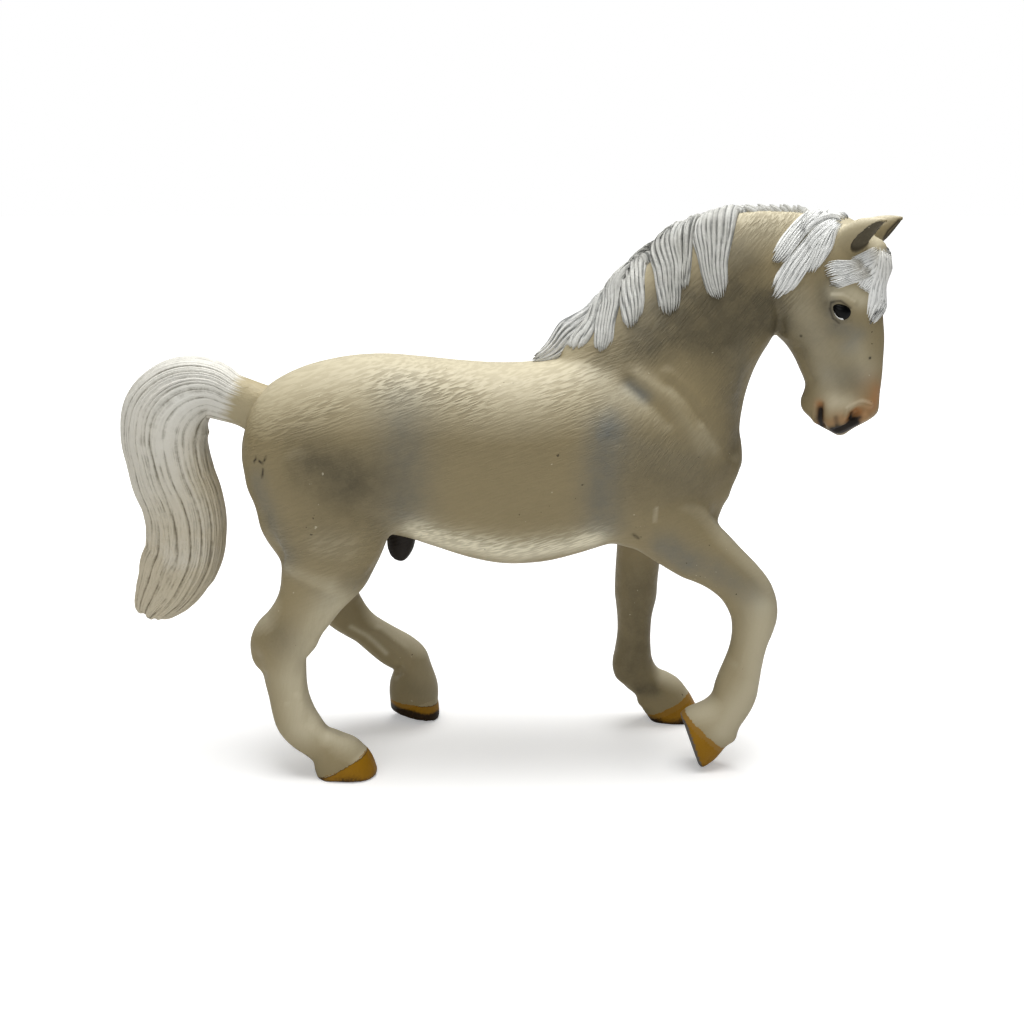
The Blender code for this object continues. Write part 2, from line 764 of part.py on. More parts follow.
def hollow_head(head, group):
    """Open the ears, the nostrils and the mouth."""
    along, reach, across = ear_hollow_shares
    for side in (-1, 1):
        lean = ear_lean(side)
        middle = ear_foot(side) + lean * (along * EAR_LENGTH)
        outward = Vector((lean.z, side, -lean.x)).normalized()
        radii = (reach * EAR_LENGTH, EAR_HOLLOW, across * EAR_WIDTH)
        tilt = -math.degrees(math.atan2(lean.z, lean.x))
        cut_in_head(head, middle + outward * EAR_HOLLOW, radii, tilt, group)
        place = head_local(nostril_share[0], side * nostril_share[1], nostril_share[2])
        radii = (NOSTRIL_LENGTH / 2, NOSTRIL_SINK, NOSTRIL_WIDTH / 2)
        cut_in_head(head, place, radii, NOSTRIL_TILT, group)
    radii = (MOUTH_GAP / 2, HEAD_WIDTH, MOUTH_LENGTH)
    cut_in_head(head, head_local(*mouth_share), radii, MOUTH_TILT, group)
    keep_largest(head)


def leg_sizes(name):
    """The hip's place, heights, swing, thickness and spreads of one leg."""
    hind = "hind" in name
    side = -1 if name.startswith("right") else 1
    along = hip_shares["hind" if hind else "fore"] * TRUNK_LENGTH
    if hind:
        sizes = (HIND_HIP_HEIGHT, HIND_LEG_SWING, HIND_LEG_DEPTH, HIND_LEG_WIDTH)
        spreads = (HIND_HIP_SPREAD, HIND_HOOF_SPREAD * hoof_shares[name][2])
    else:
        sizes = (FORE_HIP_HEIGHT, FORELEG_SWING, FORELEG_DEPTH, FORELEG_WIDTH)
        spreads = (FORE_HIP_SPREAD, FORE_HOOF_SPREAD * hoof_shares[name][2])
    return along, side, sizes, spreads


def leg_place(name, swing_share, height_share):
    """A point on a leg's own plane, which leans outwards towards the hoof."""
    along, side, (height, swing, _, _), (hip, foot) = leg_sizes(name)
    spread = foot + (hip - foot) * height_share
    return Vector((along + swing_share * swing, side * spread / 2, height_share * height))


def build_leg(name, group):
    """One leg from inside the trunk down to inside the hoof."""
    _, _, (_, _, depth, width), _ = leg_sizes(name)
    rows = []
    for swing_share, height_share, depth_share, width_share in leg_shares[name]:
        centre = leg_place(name, swing_share, height_share)
        rows.append((*centre, depth_share * depth / 2, width_share * width / 2))
    return limb(name + "_form", rows, LEG_SQUARE_FACTOR, group)


def build_masses(group):
    """Haunches, shoulders, breast, cheeks and sheath."""
    masses = []
    for side in (-1, 1):
        for place_share, across_share, radius_share, tilt in trunk_mass_shares:
            centre = trunk_point(*place_share)
            centre.y = side * across_share * TRUNK_WIDTH
            radii = Vector(radius_share) * Vector((TRUNK_LENGTH, TRUNK_WIDTH, TRUNK_DEPTH))
            masses.append(blob("muscle_form", centre, radii, group, tilt))
        cheek = head_point(cheek_share[0], side * cheek_share[1], cheek_share[2])
        radii = Vector(cheek_radius_share) * Vector((HEAD_DEPTH, HEAD_WIDTH, HEAD_LENGTH))
        masses.append(blob("cheek_form", cheek, radii, group))
    radii = (SHEATH_LENGTH / 2, SHEATH_WIDTH / 2, SHEATH_DROP / 2)
    masses.append(blob("sheath_form", trunk_point(*sheath_share), radii, group, SHEATH_TILT))
    return masses


def seam_frame(name):
    """Where a leg meets the trunk: the seam's middle and the direction out of the leg."""
    swing_share, height_share, slope = seam_shares[name][:3]
    turn = math.radians(slope)
    out = Vector((-math.sin(turn), 0, math.cos(turn)))
    return leg_place(name, swing_share, height_share), out


def prism(name, outline, low, high, group):
    """A block with an outline in the XZ plane between two places on Y."""
    count = len(outline)
    points = [Vector((point.x, across, point.z)) for across in (low, high) for point in outline]
    faces = [list(range(count))[::-1], list(range(count, 2 * count))]
    for index in range(count):
        after = (index + 1) % count
        faces.append([index, after, count + after, count + index])
    return add_mesh(name, points, faces, group)


def leg_block(name, margin, group):
    """A block whose top is a leg's seam and which holds the rest of that leg."""
    middle, out = seam_frame(name)
    _, side, (height, swing, depth, _), _ = leg_sizes(name)
    inner = side * (abs(middle.y) * seam_inset_share - margin)
    outer = side * (abs(middle.y) + OVERRUN)
    run = Vector((out.z, 0, -out.x))
    behind, ahead = (depth * share + margin for share in seam_shares[name][3:])
    top = middle + out * margin
    floor = Vector((0, 0, -height - swing))
    outline = [top - run * behind, top + run * ahead, top + run * (ahead + swing) + floor,
               top - run * (behind + swing) + floor]
    return prism(name + "_block", outline, min(inner, outer), max(inner, outer), group)


def add_peg(child, parent, foot, direction, group):
    """Fix a child in its parent with a round peg and a clear socket."""
    sink = direction * PEG_RADIUS
    peg = rod("peg", foot - sink, foot + direction * PEG_LENGTH, PEG_RADIUS, group)
    boolean(child, peg, "UNION")
    reach = direction * (PEG_LENGTH + PEG_CLEARANCE)
    socket = rod("socket", foot - sink, foot + reach, PEG_RADIUS + PEG_CLEARANCE, group)
    boolean(parent, socket, "DIFFERENCE")
    discard(peg, socket)


def split_leg(trunk, name, parts, scratch):
    """Part a leg from the trunk along its seam and give it a peg."""
    leg = copy_of(trunk, name, parts)
    block = leg_block(name, 0.0, scratch)
    boolean(leg, block, "INTERSECT")
    keep_largest(leg)
    clear = leg_block(name, GAP, scratch)
    boolean(trunk, clear, "DIFFERENCE")
    keep_largest(trunk)
    discard(block, clear)
    middle, out = seam_frame(name)
    add_peg(leg, trunk, middle, out, scratch)
    return leg


def head_block(margin, group):
    """A block behind whose rear face lies the neck, and which holds the whole head."""
    low, high, out = throat_seam()
    low, high = low - out * margin, high - out * margin
    rise = (high - low).normalized() * HEAD_DEPTH
    ahead = Vector((HEAD_LENGTH, 0, 0))
    floor = Vector((0, 0, -HEAD_LENGTH))
    outline = [low, high + rise, high + rise + ahead * 2, low + ahead * 2 + floor, low + floor]
    return prism("head_block", outline, -OVERRUN, OVERRUN, group)


def throat_seam():
    """The foot and the top of the seam behind the head, and the direction towards the head."""
    low = neck_point(*throat_seam_share)
    high = neck_point(*poll_seam_share)
    run = (high - low).normalized()
    return low, high, Vector((run.z, 0, -run.x))


def split_head(trunk, parts, scratch):
    """Part the head from the neck at the throat crease and give it a peg."""
    head = copy_of(trunk, "head", parts)
    block = head_block(0.0, scratch)
    boolean(head, block, "INTERSECT")
    keep_largest(head)
    clear = head_block(GAP, scratch)
    boolean(trunk, clear, "DIFFERENCE")
    keep_largest(trunk)
    discard(block, clear)
    low, high, out = throat_seam()
    add_peg(head, trunk, (low + high) / 2, -out, scratch)
    return head


def hoof_frame(name):
    """A hoof's sole centre, toe and upward directions, coronet centre, its run and its normal."""
    swing_share, pitch, _ = hoof_shares[name]
    turn = math.radians(pitch)
    toe = Vector((math.cos(turn), 0, math.sin(turn)))
    out = Vector((-math.sin(turn), 0, math.cos(turn)))
    sole = leg_place(name, swing_share, 0)
    lift = HOOF_LENGTH / 2 * abs(math.sin(turn))
    sole.z += max(lift - TOE_FLAT, 0.0)
    coronet = sole + out * HOOF_HEIGHT - toe * HOOF_RAKE
    slope = math.radians(pitch + CORONET_SLOPE)
    normal = Vector((-math.sin(slope), 0, math.cos(slope)))
    run = Vector((math.cos(slope), 0, math.sin(slope)))
    return sole, toe, out, coronet, run, normal


def hoof_ring(centre, forward, share):
    """One rounded outline of a hoof, fuller at the toe than at the heel."""
    ring = []
    for index in range(HOOF_POINTS):
        turn = 2 * math.pi * index / HOOF_POINTS
        reach = signed_power(math.cos(turn), hoof_point_share)
        across = signed_power(math.sin(turn), hoof_point_share)
        across *= 1 - hoof_heel_share * (1 - math.cos(turn))
        point = centre + forward * (reach * share * HOOF_LENGTH / 2)
        ring.append(point + Vector((0, across * share * HOOF_WIDTH / 2, 0)))
    return ring


def build_hoof(name, parts):
    """A hoof from its flat sole up to the sloping coronet, level with the floor."""
    sole, toe, out, coronet, run, _ = hoof_frame(name)
    edge = out * HOOF_EDGE
    levels = ((sole, toe), (sole + edge, toe),
              ((sole + coronet) / 2 + edge, (toe + run).normalized()), (coronet, run))
    rings = []
    for (centre, forward), share in zip(levels, hoof_ring_shares):
        rings.append(hoof_ring(centre, forward, share))
    hoof = loft(name.replace("leg", "_hoof"), rings, parts)
    plane_cut(hoof, Vector((0, 0, 0)), Vector((0, 0, 1)))
    return hoof


def build_tail(parts, scratch):
    """The arched tail, from its root in the croup to the swept tip."""
    root = trunk_point(*tail_root_share)
    rows = []
    for reach, drop, depth, width in tail_shares:
        centre = root + Vector((-reach * TAIL_REACH, 0, -drop * TAIL_DROP))
        rows.append((*centre, depth * TAIL_DEPTH / 2, width * TAIL_WIDTH / 2))
    form = limb("tail_form", rows, TAIL_SQUARE_FACTOR, scratch)
    return fuse("tail", [form], HAIR_VOXEL, TAIL_KEEP_SHARE, TAIL_SMOOTH_COUNT, parts)


def surface_finder(item):
    """A search tree over the surface of an item."""
    work = bmesh.new()
    work.from_mesh(item.data)
    tree = BVHTree.FromBMesh(work)
    work.free()
    return tree


def on_side(tree, point, side):
    """The place where a level line from one side meets the surface."""
    start = Vector((point.x, side * OVERRUN, point.z))
    hit = tree.ray_cast(start, Vector((0, -side, 0)))[0]
    if hit is None:
        hit = tree.find_nearest(point)[0]
    return hit


def lay_lock(tree, points, widths, thickness, name, group):
    """A flat tapering lock lying on the surface along given points."""
    rings = []
    found = [tree.find_nearest(point)[:2] for point in points]
    centres = [hit + normal * (thickness * lock_lift_share) for hit, normal in found]
    for index, (centre, width) in enumerate(zip(centres, widths)):
        ahead = centres[min(index + 1, len(centres) - 1)]
        behind = centres[max(index - 1, 0)]
        out = found[index][1]
        across = out.cross(ahead - behind).normalized() * (width * LOCK_WIDTH / 2)
        ring = []
        for step in range(LOCK_POINTS):
            turn = 2 * math.pi * step / LOCK_POINTS
            lift = out * (math.sin(turn) * thickness / 2)
            ring.append(centre + lift + across * math.cos(turn))
        rings.append(ring)
    return loft(name, rings, group)


def neck_locks(tree, table, side, group):
    """Locks that hang from the crest down one side of the neck."""
    locks = []
    for root_share, tip_share, bend_share, width_share in table:
        root = neck_point(*root_share)
        tip = neck_point(*tip_share)
        points, widths = [], []
        for part, width in lock_taper_shares:
            place = root.lerp(tip, part)
            place.x -= math.sin(part * math.pi) * bend_share * NECK_REACH
            points.append(on_side(tree, place, side))
            widths.append(width * width_share)
        locks.append(lay_lock(tree, points, widths, LOCK_THICKNESS, "lock_form", group))
    return locks


def build_crest(tree, group):
    """The thick ridge of hair along the top of the neck."""
    rows = []
    for share in crest_shares:
        hit = tree.find_nearest(neck_point(*share))[0]
        rows.append((*hit, CREST_THICKNESS / 2, CREST_WIDTH / 2))
    return limb("crest_form", rows, LEG_SQUARE_FACTOR, group)


def finish_hair(name, forms, neighbours, parts):
    """Melt locks into one piece and cut it clear of what lies beneath and beside it."""
    hair = fuse(name, forms, HAIR_VOXEL, HAIR_KEEP_SHARE, HAIR_SMOOTH_COUNT, parts)
    for neighbour in neighbours:
        boolean(hair, neighbour, "DIFFERENCE", crossing=True)
    return keep_largest(hair)


def build_forelock(tree, group):
    """Locks from between the ears down the forehead and past the eye."""
    locks = []
    for root_share, tip_share, width_share in forelock_shares:
        root = head_point(*root_share)
        tip = head_point(*tip_share)
        points, widths = [], []
        for part, width in forelock_taper_shares:
            points.append(root.lerp(tip, part))
            widths.append(width * width_share)
        locks.append(lay_lock(tree, points, widths, FORELOCK_THICKNESS, "forelock_form", group))
    return locks


def build_eye(name, side, tree, group, growth=0.0):
    """An almond eye set into the side of the head."""
    inward = head_matrix().to_3x3() @ Vector((0, -side, 0))
    aim = head_point(eye_share[0], 0, eye_share[1]) - inward * OVERRUN
    hit = tree.ray_cast(aim, inward)[0]
    radii = (EYE_LENGTH / 2 + growth, EYE_BULGE + growth, EYE_HEIGHT / 2 + growth)
    ball = blob(name, Vector((0, 0, 0)), radii, group, EYE_TILT)
    ball.data.transform(Matrix.Rotation(math.radians(-HEAD_TURN), 4, "Z"))
    ball.data.transform(Matrix.Translation(hit + inward * (EYE_BULGE * eye_sink_share)))
    return ball


def dress(item, material):
    """Give a part its material and smooth shading with crisp corners."""
    item.data.materials.clear()
    item.data.materials.append(material)
    item.data.shade_smooth()
    item.data.set_sharp_from_angle(angle=math.radians(SHARP_ANGLE))


def stand_on_origin(items, group):
    """Put the middle of the whole footprint at the origin and the lowest point on the floor."""
    points = np.array([vertex.co for item in items for vertex in item.data.vertices])
    low = points.min(axis=0)
    middle = (low + points.max(axis=0)) / 2
    anchor = bpy.data.objects.new("figure_origin", None)
    group.objects.link(anchor)
    anchor.location = (-middle[0], -middle[1], -low[2])
    for item in items:
        item.parent = anchor


def clear_scene():
    """Remove what the scene holds and add the collections of parts and of cutters."""
    for item in list(bpy.data.objects):
        bpy.data.objects.remove(item, do_unlink=True)
    parts = bpy.data.collections.new("horse_figure")
    scratch = bpy.data.collections.new("cutters")
    bpy.context.scene.collection.children.link(parts)
    bpy.context.scene.collection.children.link(scratch)
    return parts, scratch


def build_body(parts, scratch):
    """The whole body in one piece, before it is parted along its seams."""
    forms = [build_trunk(scratch), build_neck(scratch), build_head(scratch)]
    forms += [build_leg(name, scratch) for name in leg_shares]
    forms += [build_ear("ear_form", side, scratch) for side in (-1, 1)]
    forms += build_masses(scratch)
    return fuse("trunk", forms, BODY_VOXEL, BODY_KEEP_SHARE, BODY_SMOOTH_COUNT, parts)


def build_hair(trunk, skin, parts, scratch):
    """The poll lock, the mane and the forelock, clear of the body and of each other."""
    body = grown(trunk, "body_clearance", GAP, scratch)
    locks = neck_locks(skin, poll_lock_shares, -1, scratch)
    poll = finish_hair("poll_lock", locks, [body], parts)
    edge = grown(poll, "poll_clearance", GAP, scratch, HAIR_VOXEL)
    locks = [build_crest(skin, scratch)]
    locks += neck_locks(skin, near_lock_shares, -1, scratch)
    locks += neck_locks(skin, far_lock_shares, 1, scratch)
    mane = finish_hair("mane", locks, [body, edge], parts)
    locks = build_forelock(skin, scratch)
    forelock = finish_hair("forelock", locks, [body, edge], parts)
    discard(body, edge)
    return [poll, mane, forelock]


def build_legs(trunk, parts, scratch):
    """Part the legs from the trunk and end each one just above its hoof."""
    legs = []
    for name in leg_shares:
        leg = split_leg(trunk, name, parts, scratch)
        _, _, _, coronet, _, normal = hoof_frame(name)
        legs.append(plane_cut(leg, coronet + normal * GAP, normal))
    return legs


def seat_tail(trunk, tail, scratch):
    """Open the croup for the root of the tail."""
    root = grown(tail, "tail_clearance", GAP, scratch)
    boolean(trunk, root, "DIFFERENCE")
    discard(root)


def seat_eyes(head, skin, parts, scratch):
    """Set an eye into a socket on each side of the head."""
    eyes = []
    for name, side in (("right_eye", -1), ("left_eye", 1)):
        eyes.append(build_eye(name, side, skin, parts))
        socket = build_eye(name + "_socket", side, skin, scratch, GAP)
        boolean(head, socket, "DIFFERENCE")
        discard(socket)
    return eyes


def dress_all(finishes):
    """Give every part a material of its own and list the parts."""
    everything = []
    for name, colour, roughness, items in finishes:
        for item in items:
            dress(item, make_material(item.name + "_" + name, colour, roughness))
            everything.append(item)
    return everything


def main():
    """Build every piece and stand the figure on the floor."""
    parts, scratch = clear_scene()
    trunk = build_body(parts, scratch)
    skin = surface_finder(trunk)
    tail = build_tail(parts, scratch)
    hair = build_hair(trunk, skin, parts, scratch)
    legs = build_legs(trunk, parts, scratch)
    head = split_head(trunk, parts, scratch)
    hollow_head(head, scratch)
    seat_tail(trunk, tail, scratch)
    hooves = [build_hoof(name, parts) for name in leg_shares]
    eyes = seat_eyes(head, skin, parts, scratch)
    everything = dress_all([
        ("beige_vinyl", BEIGE, MATT, [trunk, head, *legs]),
        ("white_paint", WHITE, MATT, hair),
        ("grey_white_paint", TAIL_GREY, MATT, [tail]),
        ("ochre_paint", OCHRE, MATT, hooves),
        ("black_gloss", BLACK, GLOSS, eyes),
    ])
    stand_on_origin(everything, parts)


main()
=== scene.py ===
"""The looks of a trotting horse figure in hand-painted soft vinyl.

Everything is in metres in the row frame: the horse faces +X, its right side faces -Y and the
camera, and it stands on Z = 0. Tables list shares of the sizes of the class that holds them.
Places given as pixels are read in the photograph's 1024-pixel frame, and a line of
sight from the camera carries them to the skin.
"""

import logging
import math
from dataclasses import dataclass, field
from enum import Enum

import bmesh
import bpy
import numpy as np
from bpy.types import ID, Material, Mesh, Node, NodeSocket as Socket, NodeTree, Object
from mathutils import Matrix, Vector
from mathutils.bvhtree import BVHTree


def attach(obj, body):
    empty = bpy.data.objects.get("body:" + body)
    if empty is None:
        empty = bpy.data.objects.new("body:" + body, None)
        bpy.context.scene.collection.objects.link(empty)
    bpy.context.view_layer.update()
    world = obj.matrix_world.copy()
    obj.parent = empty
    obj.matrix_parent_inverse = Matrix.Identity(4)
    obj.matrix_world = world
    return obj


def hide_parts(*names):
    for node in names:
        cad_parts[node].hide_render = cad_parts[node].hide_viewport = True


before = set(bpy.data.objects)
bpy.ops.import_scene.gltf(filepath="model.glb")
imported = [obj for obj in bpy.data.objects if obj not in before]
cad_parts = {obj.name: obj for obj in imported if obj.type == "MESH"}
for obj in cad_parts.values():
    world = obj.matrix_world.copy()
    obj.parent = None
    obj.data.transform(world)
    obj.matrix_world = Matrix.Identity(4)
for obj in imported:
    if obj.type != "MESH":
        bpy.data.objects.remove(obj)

MM = 0.001
FAR = np.array([1, -1, 1])
Array = np.ndarray
Pixels = tuple[tuple[float, float], ...]
LOG = logging.getLogger("horse_figure")


# Array helpers

def unit(rows: Array) -> Array:
    """Scale each row to length one."""
    return rows / np.maximum(np.linalg.norm(rows, axis=-1, keepdims=True), 1e-12)


def held(values: Array) -> Array:
    """Hold values between nought and one."""
    return np.clip(values, 0, 1)


def pitched(degrees: float) -> tuple[Array, Array]:
    """The forward and the upward direction of a frame that is pitched up by degrees."""
    turn = math.radians(degrees)
    return (np.array([math.cos(turn), 0, math.sin(turn)]),
            np.array([-math.sin(turn), 0, math.cos(turn)]))


def signed_power(values: Array, power: float) -> Array:
    """Raise the size of each number to a power and keep its sign."""
    return np.sign(values) * np.abs(values) ** power


def smooth_rows(rows: list | Array, steps: int = 6) -> Array:
    """Put a smooth curve through every column of a table.

    Between two rows a cubic runs through both, with the slope at each row set by the rows
    on either side of it.

    Args:
        rows: the table, one station a row.
        steps: how many rows stand for each old one.

    Returns:
        The finer table, which keeps the first and the last row.
    """
    table = np.array(rows, dtype=float)
    padded = np.vstack([2 * table[0] - table[1], table, 2 * table[-1] - table[-2]])
    count = len(table) - 1
    before, start, end, after = (padded[k:k + count, None] for k in range(4))
    part = (np.arange(steps) / steps)[None, :, None]
    slope = (end - before) * part
    bend = (2 * before - 5 * start + 4 * end - after) * part ** 2
    twist = (3 * start - before - 3 * end + after) * part ** 3
    between = ((2 * start + slope + bend + twist) / 2).reshape(-1, table.shape[1])
    return np.vstack([between, table[-1:]])


@dataclass
class Form:
    """A closed surface as arrays: its points and its triangles."""

    points: Array
    faces: Array

    @property
    def normals(self) -> Array:
        """The normal at each point: the sum of its triangles' area normals, made unit.

        Returns:
            One unit row for each point.
        """
        a, b, c = (self.points[self.faces[:, k]] for k in range(3))
        area = np.cross(b - a, c - a)
        total = np.zeros_like(self.points)
        for k in range(3):
            for axis in range(3):
                total[:, axis] += np.bincount(self.faces[:, k], area[:, axis],
                                              len(self.points))
        return unit(total)

    def outward(self) -> "Form":
        """Turn the triangles over if the enclosed volume comes out negative.

        Returns:
            This form.
        """
        a, b, c = (self.points[self.faces[:, k]] for k in range(3))
        if np.einsum("ij,ij->", a, np.cross(b, c)) < 0:
            self.faces = self.faces[:, ::-1].copy()
        return self

    def calmed(self, rounds: int, where: Array | None = None) -> "Form":
        """Move each point half way to the mean of its neighbours, some rounds long.

        Args:
            rounds: how many times.
            where: the share of each move that is taken, point by point.

        Returns:
            This form.
        """
        edges = np.vstack([self.faces[:, [0, 1]], self.faces[:, [1, 2]], self.faces[:, [2, 0]]])
        count = np.bincount(edges[:, 0], minlength=len(self.points))[:, None]
        weight = 0.5 if where is None else 0.5 * where[:, None]
        for _ in range(rounds):
            mean = np.stack([np.bincount(edges[:, 0], self.points[edges[:, 1], axis],
                                         len(self.points)) for axis in range(3)], axis=1)
            self.points = self.points + (mean / np.maximum(count, 1) - self.points) * weight
        return self


def join_forms(forms: list[Form]) -> Form:
    """Put forms side by side in one pair of arrays."""
    starts = np.cumsum([0] + [len(form.points) for form in forms[:-1]])
    points = np.vstack([form.points for form in forms])
    return Form(points, np.vstack([form.faces + s for form, s in zip(forms, starts)]))


def tube(grid: Array) -> Form:
    """Skin rings of points and close both ends with a pole at the middle of the ring.

    Args:
        grid: points by ring, by place round the ring, by axis.

    Returns:
        The closed form, faces outwards.
    """
    rings, count = grid.shape[:2]
    index = np.arange(rings * count).reshape(rings, count)
    low, after = index[:-1], np.roll(index, -1, axis=1)[:-1]
    high, far = index[1:], np.roll(index, -1, axis=1)[1:]
    sides = np.concatenate([np.stack([low, after, far], -1).reshape(-1, 3),
                            np.stack([low, far, high], -1).reshape(-1, 3)])
    first, last = rings * count, rings * count + 1
    start = np.stack([np.roll(index[0], -1), index[0], np.full(count, first)], -1)
    end = np.stack([index[-1], np.roll(index[-1], -1), np.full(count, last)], -1)
    points = np.vstack([grid.reshape(-1, 3), grid[0].mean(0), grid[-1].mean(0)])
    return Form(points, np.vstack([sides, start, end])).outward()


def sections(centres: Array, ups: Array, above: Array, below: Array, width: Array,
             square: float, skew: float | Array = 0.0, count: int = 48) -> Array:
    """Rounded cross-sections along a path.

    Each is a superellipse: the sine and the cosine of the turn, each raised to two over the
    squareness, give the rise and the reach, and the reach widens with the rise by the skew.

    Args:
        centres: the middle of each ring.
        ups: the upward direction of each ring.
        above: half depth on the upper side.
        below: half depth on the lower side.
        width: half width.
        square: 2 gives an ellipse, more gives a squarer ring.
        skew: how much wider a ring is on top.
        count: points round a ring.

    Returns:
        Points by ring, by place round the ring, by axis.
    """
    turn = 2 * np.pi * np.arange(count) / count
    rise = signed_power(np.sin(turn), 2 / square)[None]
    reach = signed_power(np.cos(turn), 2 / square)[None]
    reach = reach * (1 + np.reshape(skew, (-1, 1)) * rise)
    height = np.where(rise > 0, np.reshape(above, (-1, 1)), np.reshape(below, (-1, 1))) * rise
    across = (reach * np.reshape(width, (-1, 1)))[..., None] * [0, 1, 0]
    return centres[:, None] + ups[:, None] * height[..., None] + across


def path_ups(centres: Array) -> Array:
    """For a path in an upright plane, the direction square to the path at each point."""
    run = np.gradient(centres, axis=0)
    return unit(np.stack([-run[:, 2], np.zeros(len(run)), run[:, 0]], axis=1))


def limb(rows: list | Array, square: float, count: int = 48) -> Form:
    """A tube through rows of x, y, z, half depth and half width.

    Args:
        rows: the table.
        square: how square the rings are.
        count: points round a ring.

    Returns:
        The closed form.
    """
    table = smooth_rows(rows)
    centres = table[:, :3]
    return tube(sections(centres, path_ups(centres), table[:, 3], table[:, 3], table[:, 4],
                         square, count=count))


def ball(centre: Array, radii: Array, tilt: float = 0.0, count: int = 48) -> Form:
    """An ellipsoid, tilted about Y by degrees.

    The sine and cosine of latitude and longitude give a unit ball, which the radii stretch.

    Args:
        centre: its middle.
        radii: along X, Y and Z before the tilt.
        tilt: in degrees.
        count: points round it.

    Returns:
        The closed form.
    """
    lat = np.linspace(-np.pi / 2, np.pi / 2, count // 2 + 1)[1:-1, None]
    lon = (2 * np.pi * np.arange(count) / count)[None]
    grid = np.stack([np.cos(lat) * np.cos(lon), np.cos(lat) * np.sin(lon),
                     np.sin(lat) + 0 * lon], -1) * radii
    turn = np.array(Matrix.Rotation(math.radians(tilt), 3, "Y"))
    form = tube(grid @ turn.T + np.asarray(centre))
    form.points[-2:] = np.asarray(centre) + np.array([[0, 0, -radii[2]],
                                                      [0, 0, radii[2]]]) @ turn.T
    return form


def distance_to_line(points: Array, line: Array, reach: float) -> Array:
    """The distance of each point to a line of straight runs, or twice the reach if far off.

    The nearest place on a run is the foot of the perpendicular, held between its two ends.

    Args:
        points: the points.
        line: its corners, or one point.
        reach: how far off the distance is worth knowing.

    Returns:
        One distance for each point.
    """
    found = np.full(len(points), 2 * reach)
    low, high = line.min(0) - reach, line.max(0) + reach
    near = np.flatnonzero(np.all((points > low) & (points < high), axis=1))
    here = points[near]
    best = found[near]
    ends = line[1:] if len(line) > 1 else line
    for start, end in zip(line[:len(ends)], ends):
        run = end - start
        share = held((here - start) @ run / max(run @ run, 1e-18))
        gap = np.linalg.norm(here - start - share[:, None] * run, axis=1)
        best = np.minimum(best, gap)
    found[near] = best
    return found


# Scene helpers

def add_object(name: str, data: ID) -> Object:
    """Make an object of some data and put it into the scene.

    Args:
        name: its name.
        data: a mesh, a lamp or a camera.

    Returns:
        The object.
    """
    item = bpy.data.objects.new(name, data)
    bpy.context.scene.collection.objects.link(item)
    return item


def form_mesh(name: str, form: Form) -> Mesh:
    """A mesh with a form's points and triangles.

    Args:
        name: its name.
        form: the points and faces.

    Returns:
        The mesh.
    """
    mesh = bpy.data.meshes.new(name)
    mesh.from_pydata(form.points.tolist(), [], form.faces.tolist())
    return mesh


# The camera, which carries pixels to the skin

@dataclass(frozen=True)
class Sight:
    """The camera of the photograph: where it stands, how it tilts and its lens in pixels."""

    place: tuple[float, float, float] = (1.292 * MM, -245 * MM, 106.9 * MM)
    tilt: float = 76.0
    focal: float = 1374.0
    middle: float = 512.0

    def ray(self, pixel: tuple[float, float]) -> Vector:
        """The direction in which the camera sees a pixel."""
        view = Vector(((pixel[0] - self.middle) / self.focal,
                       (self.middle - pixel[1]) / self.focal, -1.0))
        return Matrix.Rotation(math.radians(self.tilt), 3, "X") @ view.normalized()

    def find(self, tree: BVHTree, pixels: Pixels) -> Array:
        """The places on the skin that the camera sees at the given pixels.

        Args:
            tree: a search tree over the skin.
            pixels: places in the photograph.

        Returns:
            One row for each pixel whose line of sight meets the skin.
        """
        hits = [tree.ray_cast(Vector(self.place), self.ray(pixel))[0] for pixel in pixels]
        return np.array([tuple(hit) for hit in hits if hit is not None])

    def build(self) -> None:
        """Make the camera."""
        data = bpy.data.cameras.new("camera")
        data.sensor_width = 36.0
        data.lens = self.focal / (2 * self.middle) * data.sensor_width
        data.clip_start = 0.01
        camera = add_object("camera", data)
        camera.location = self.place
        camera.rotation_euler = (math.radians(self.tilt), 0, 0)
        bpy.context.scene.camera = camera


# Shared shader groups

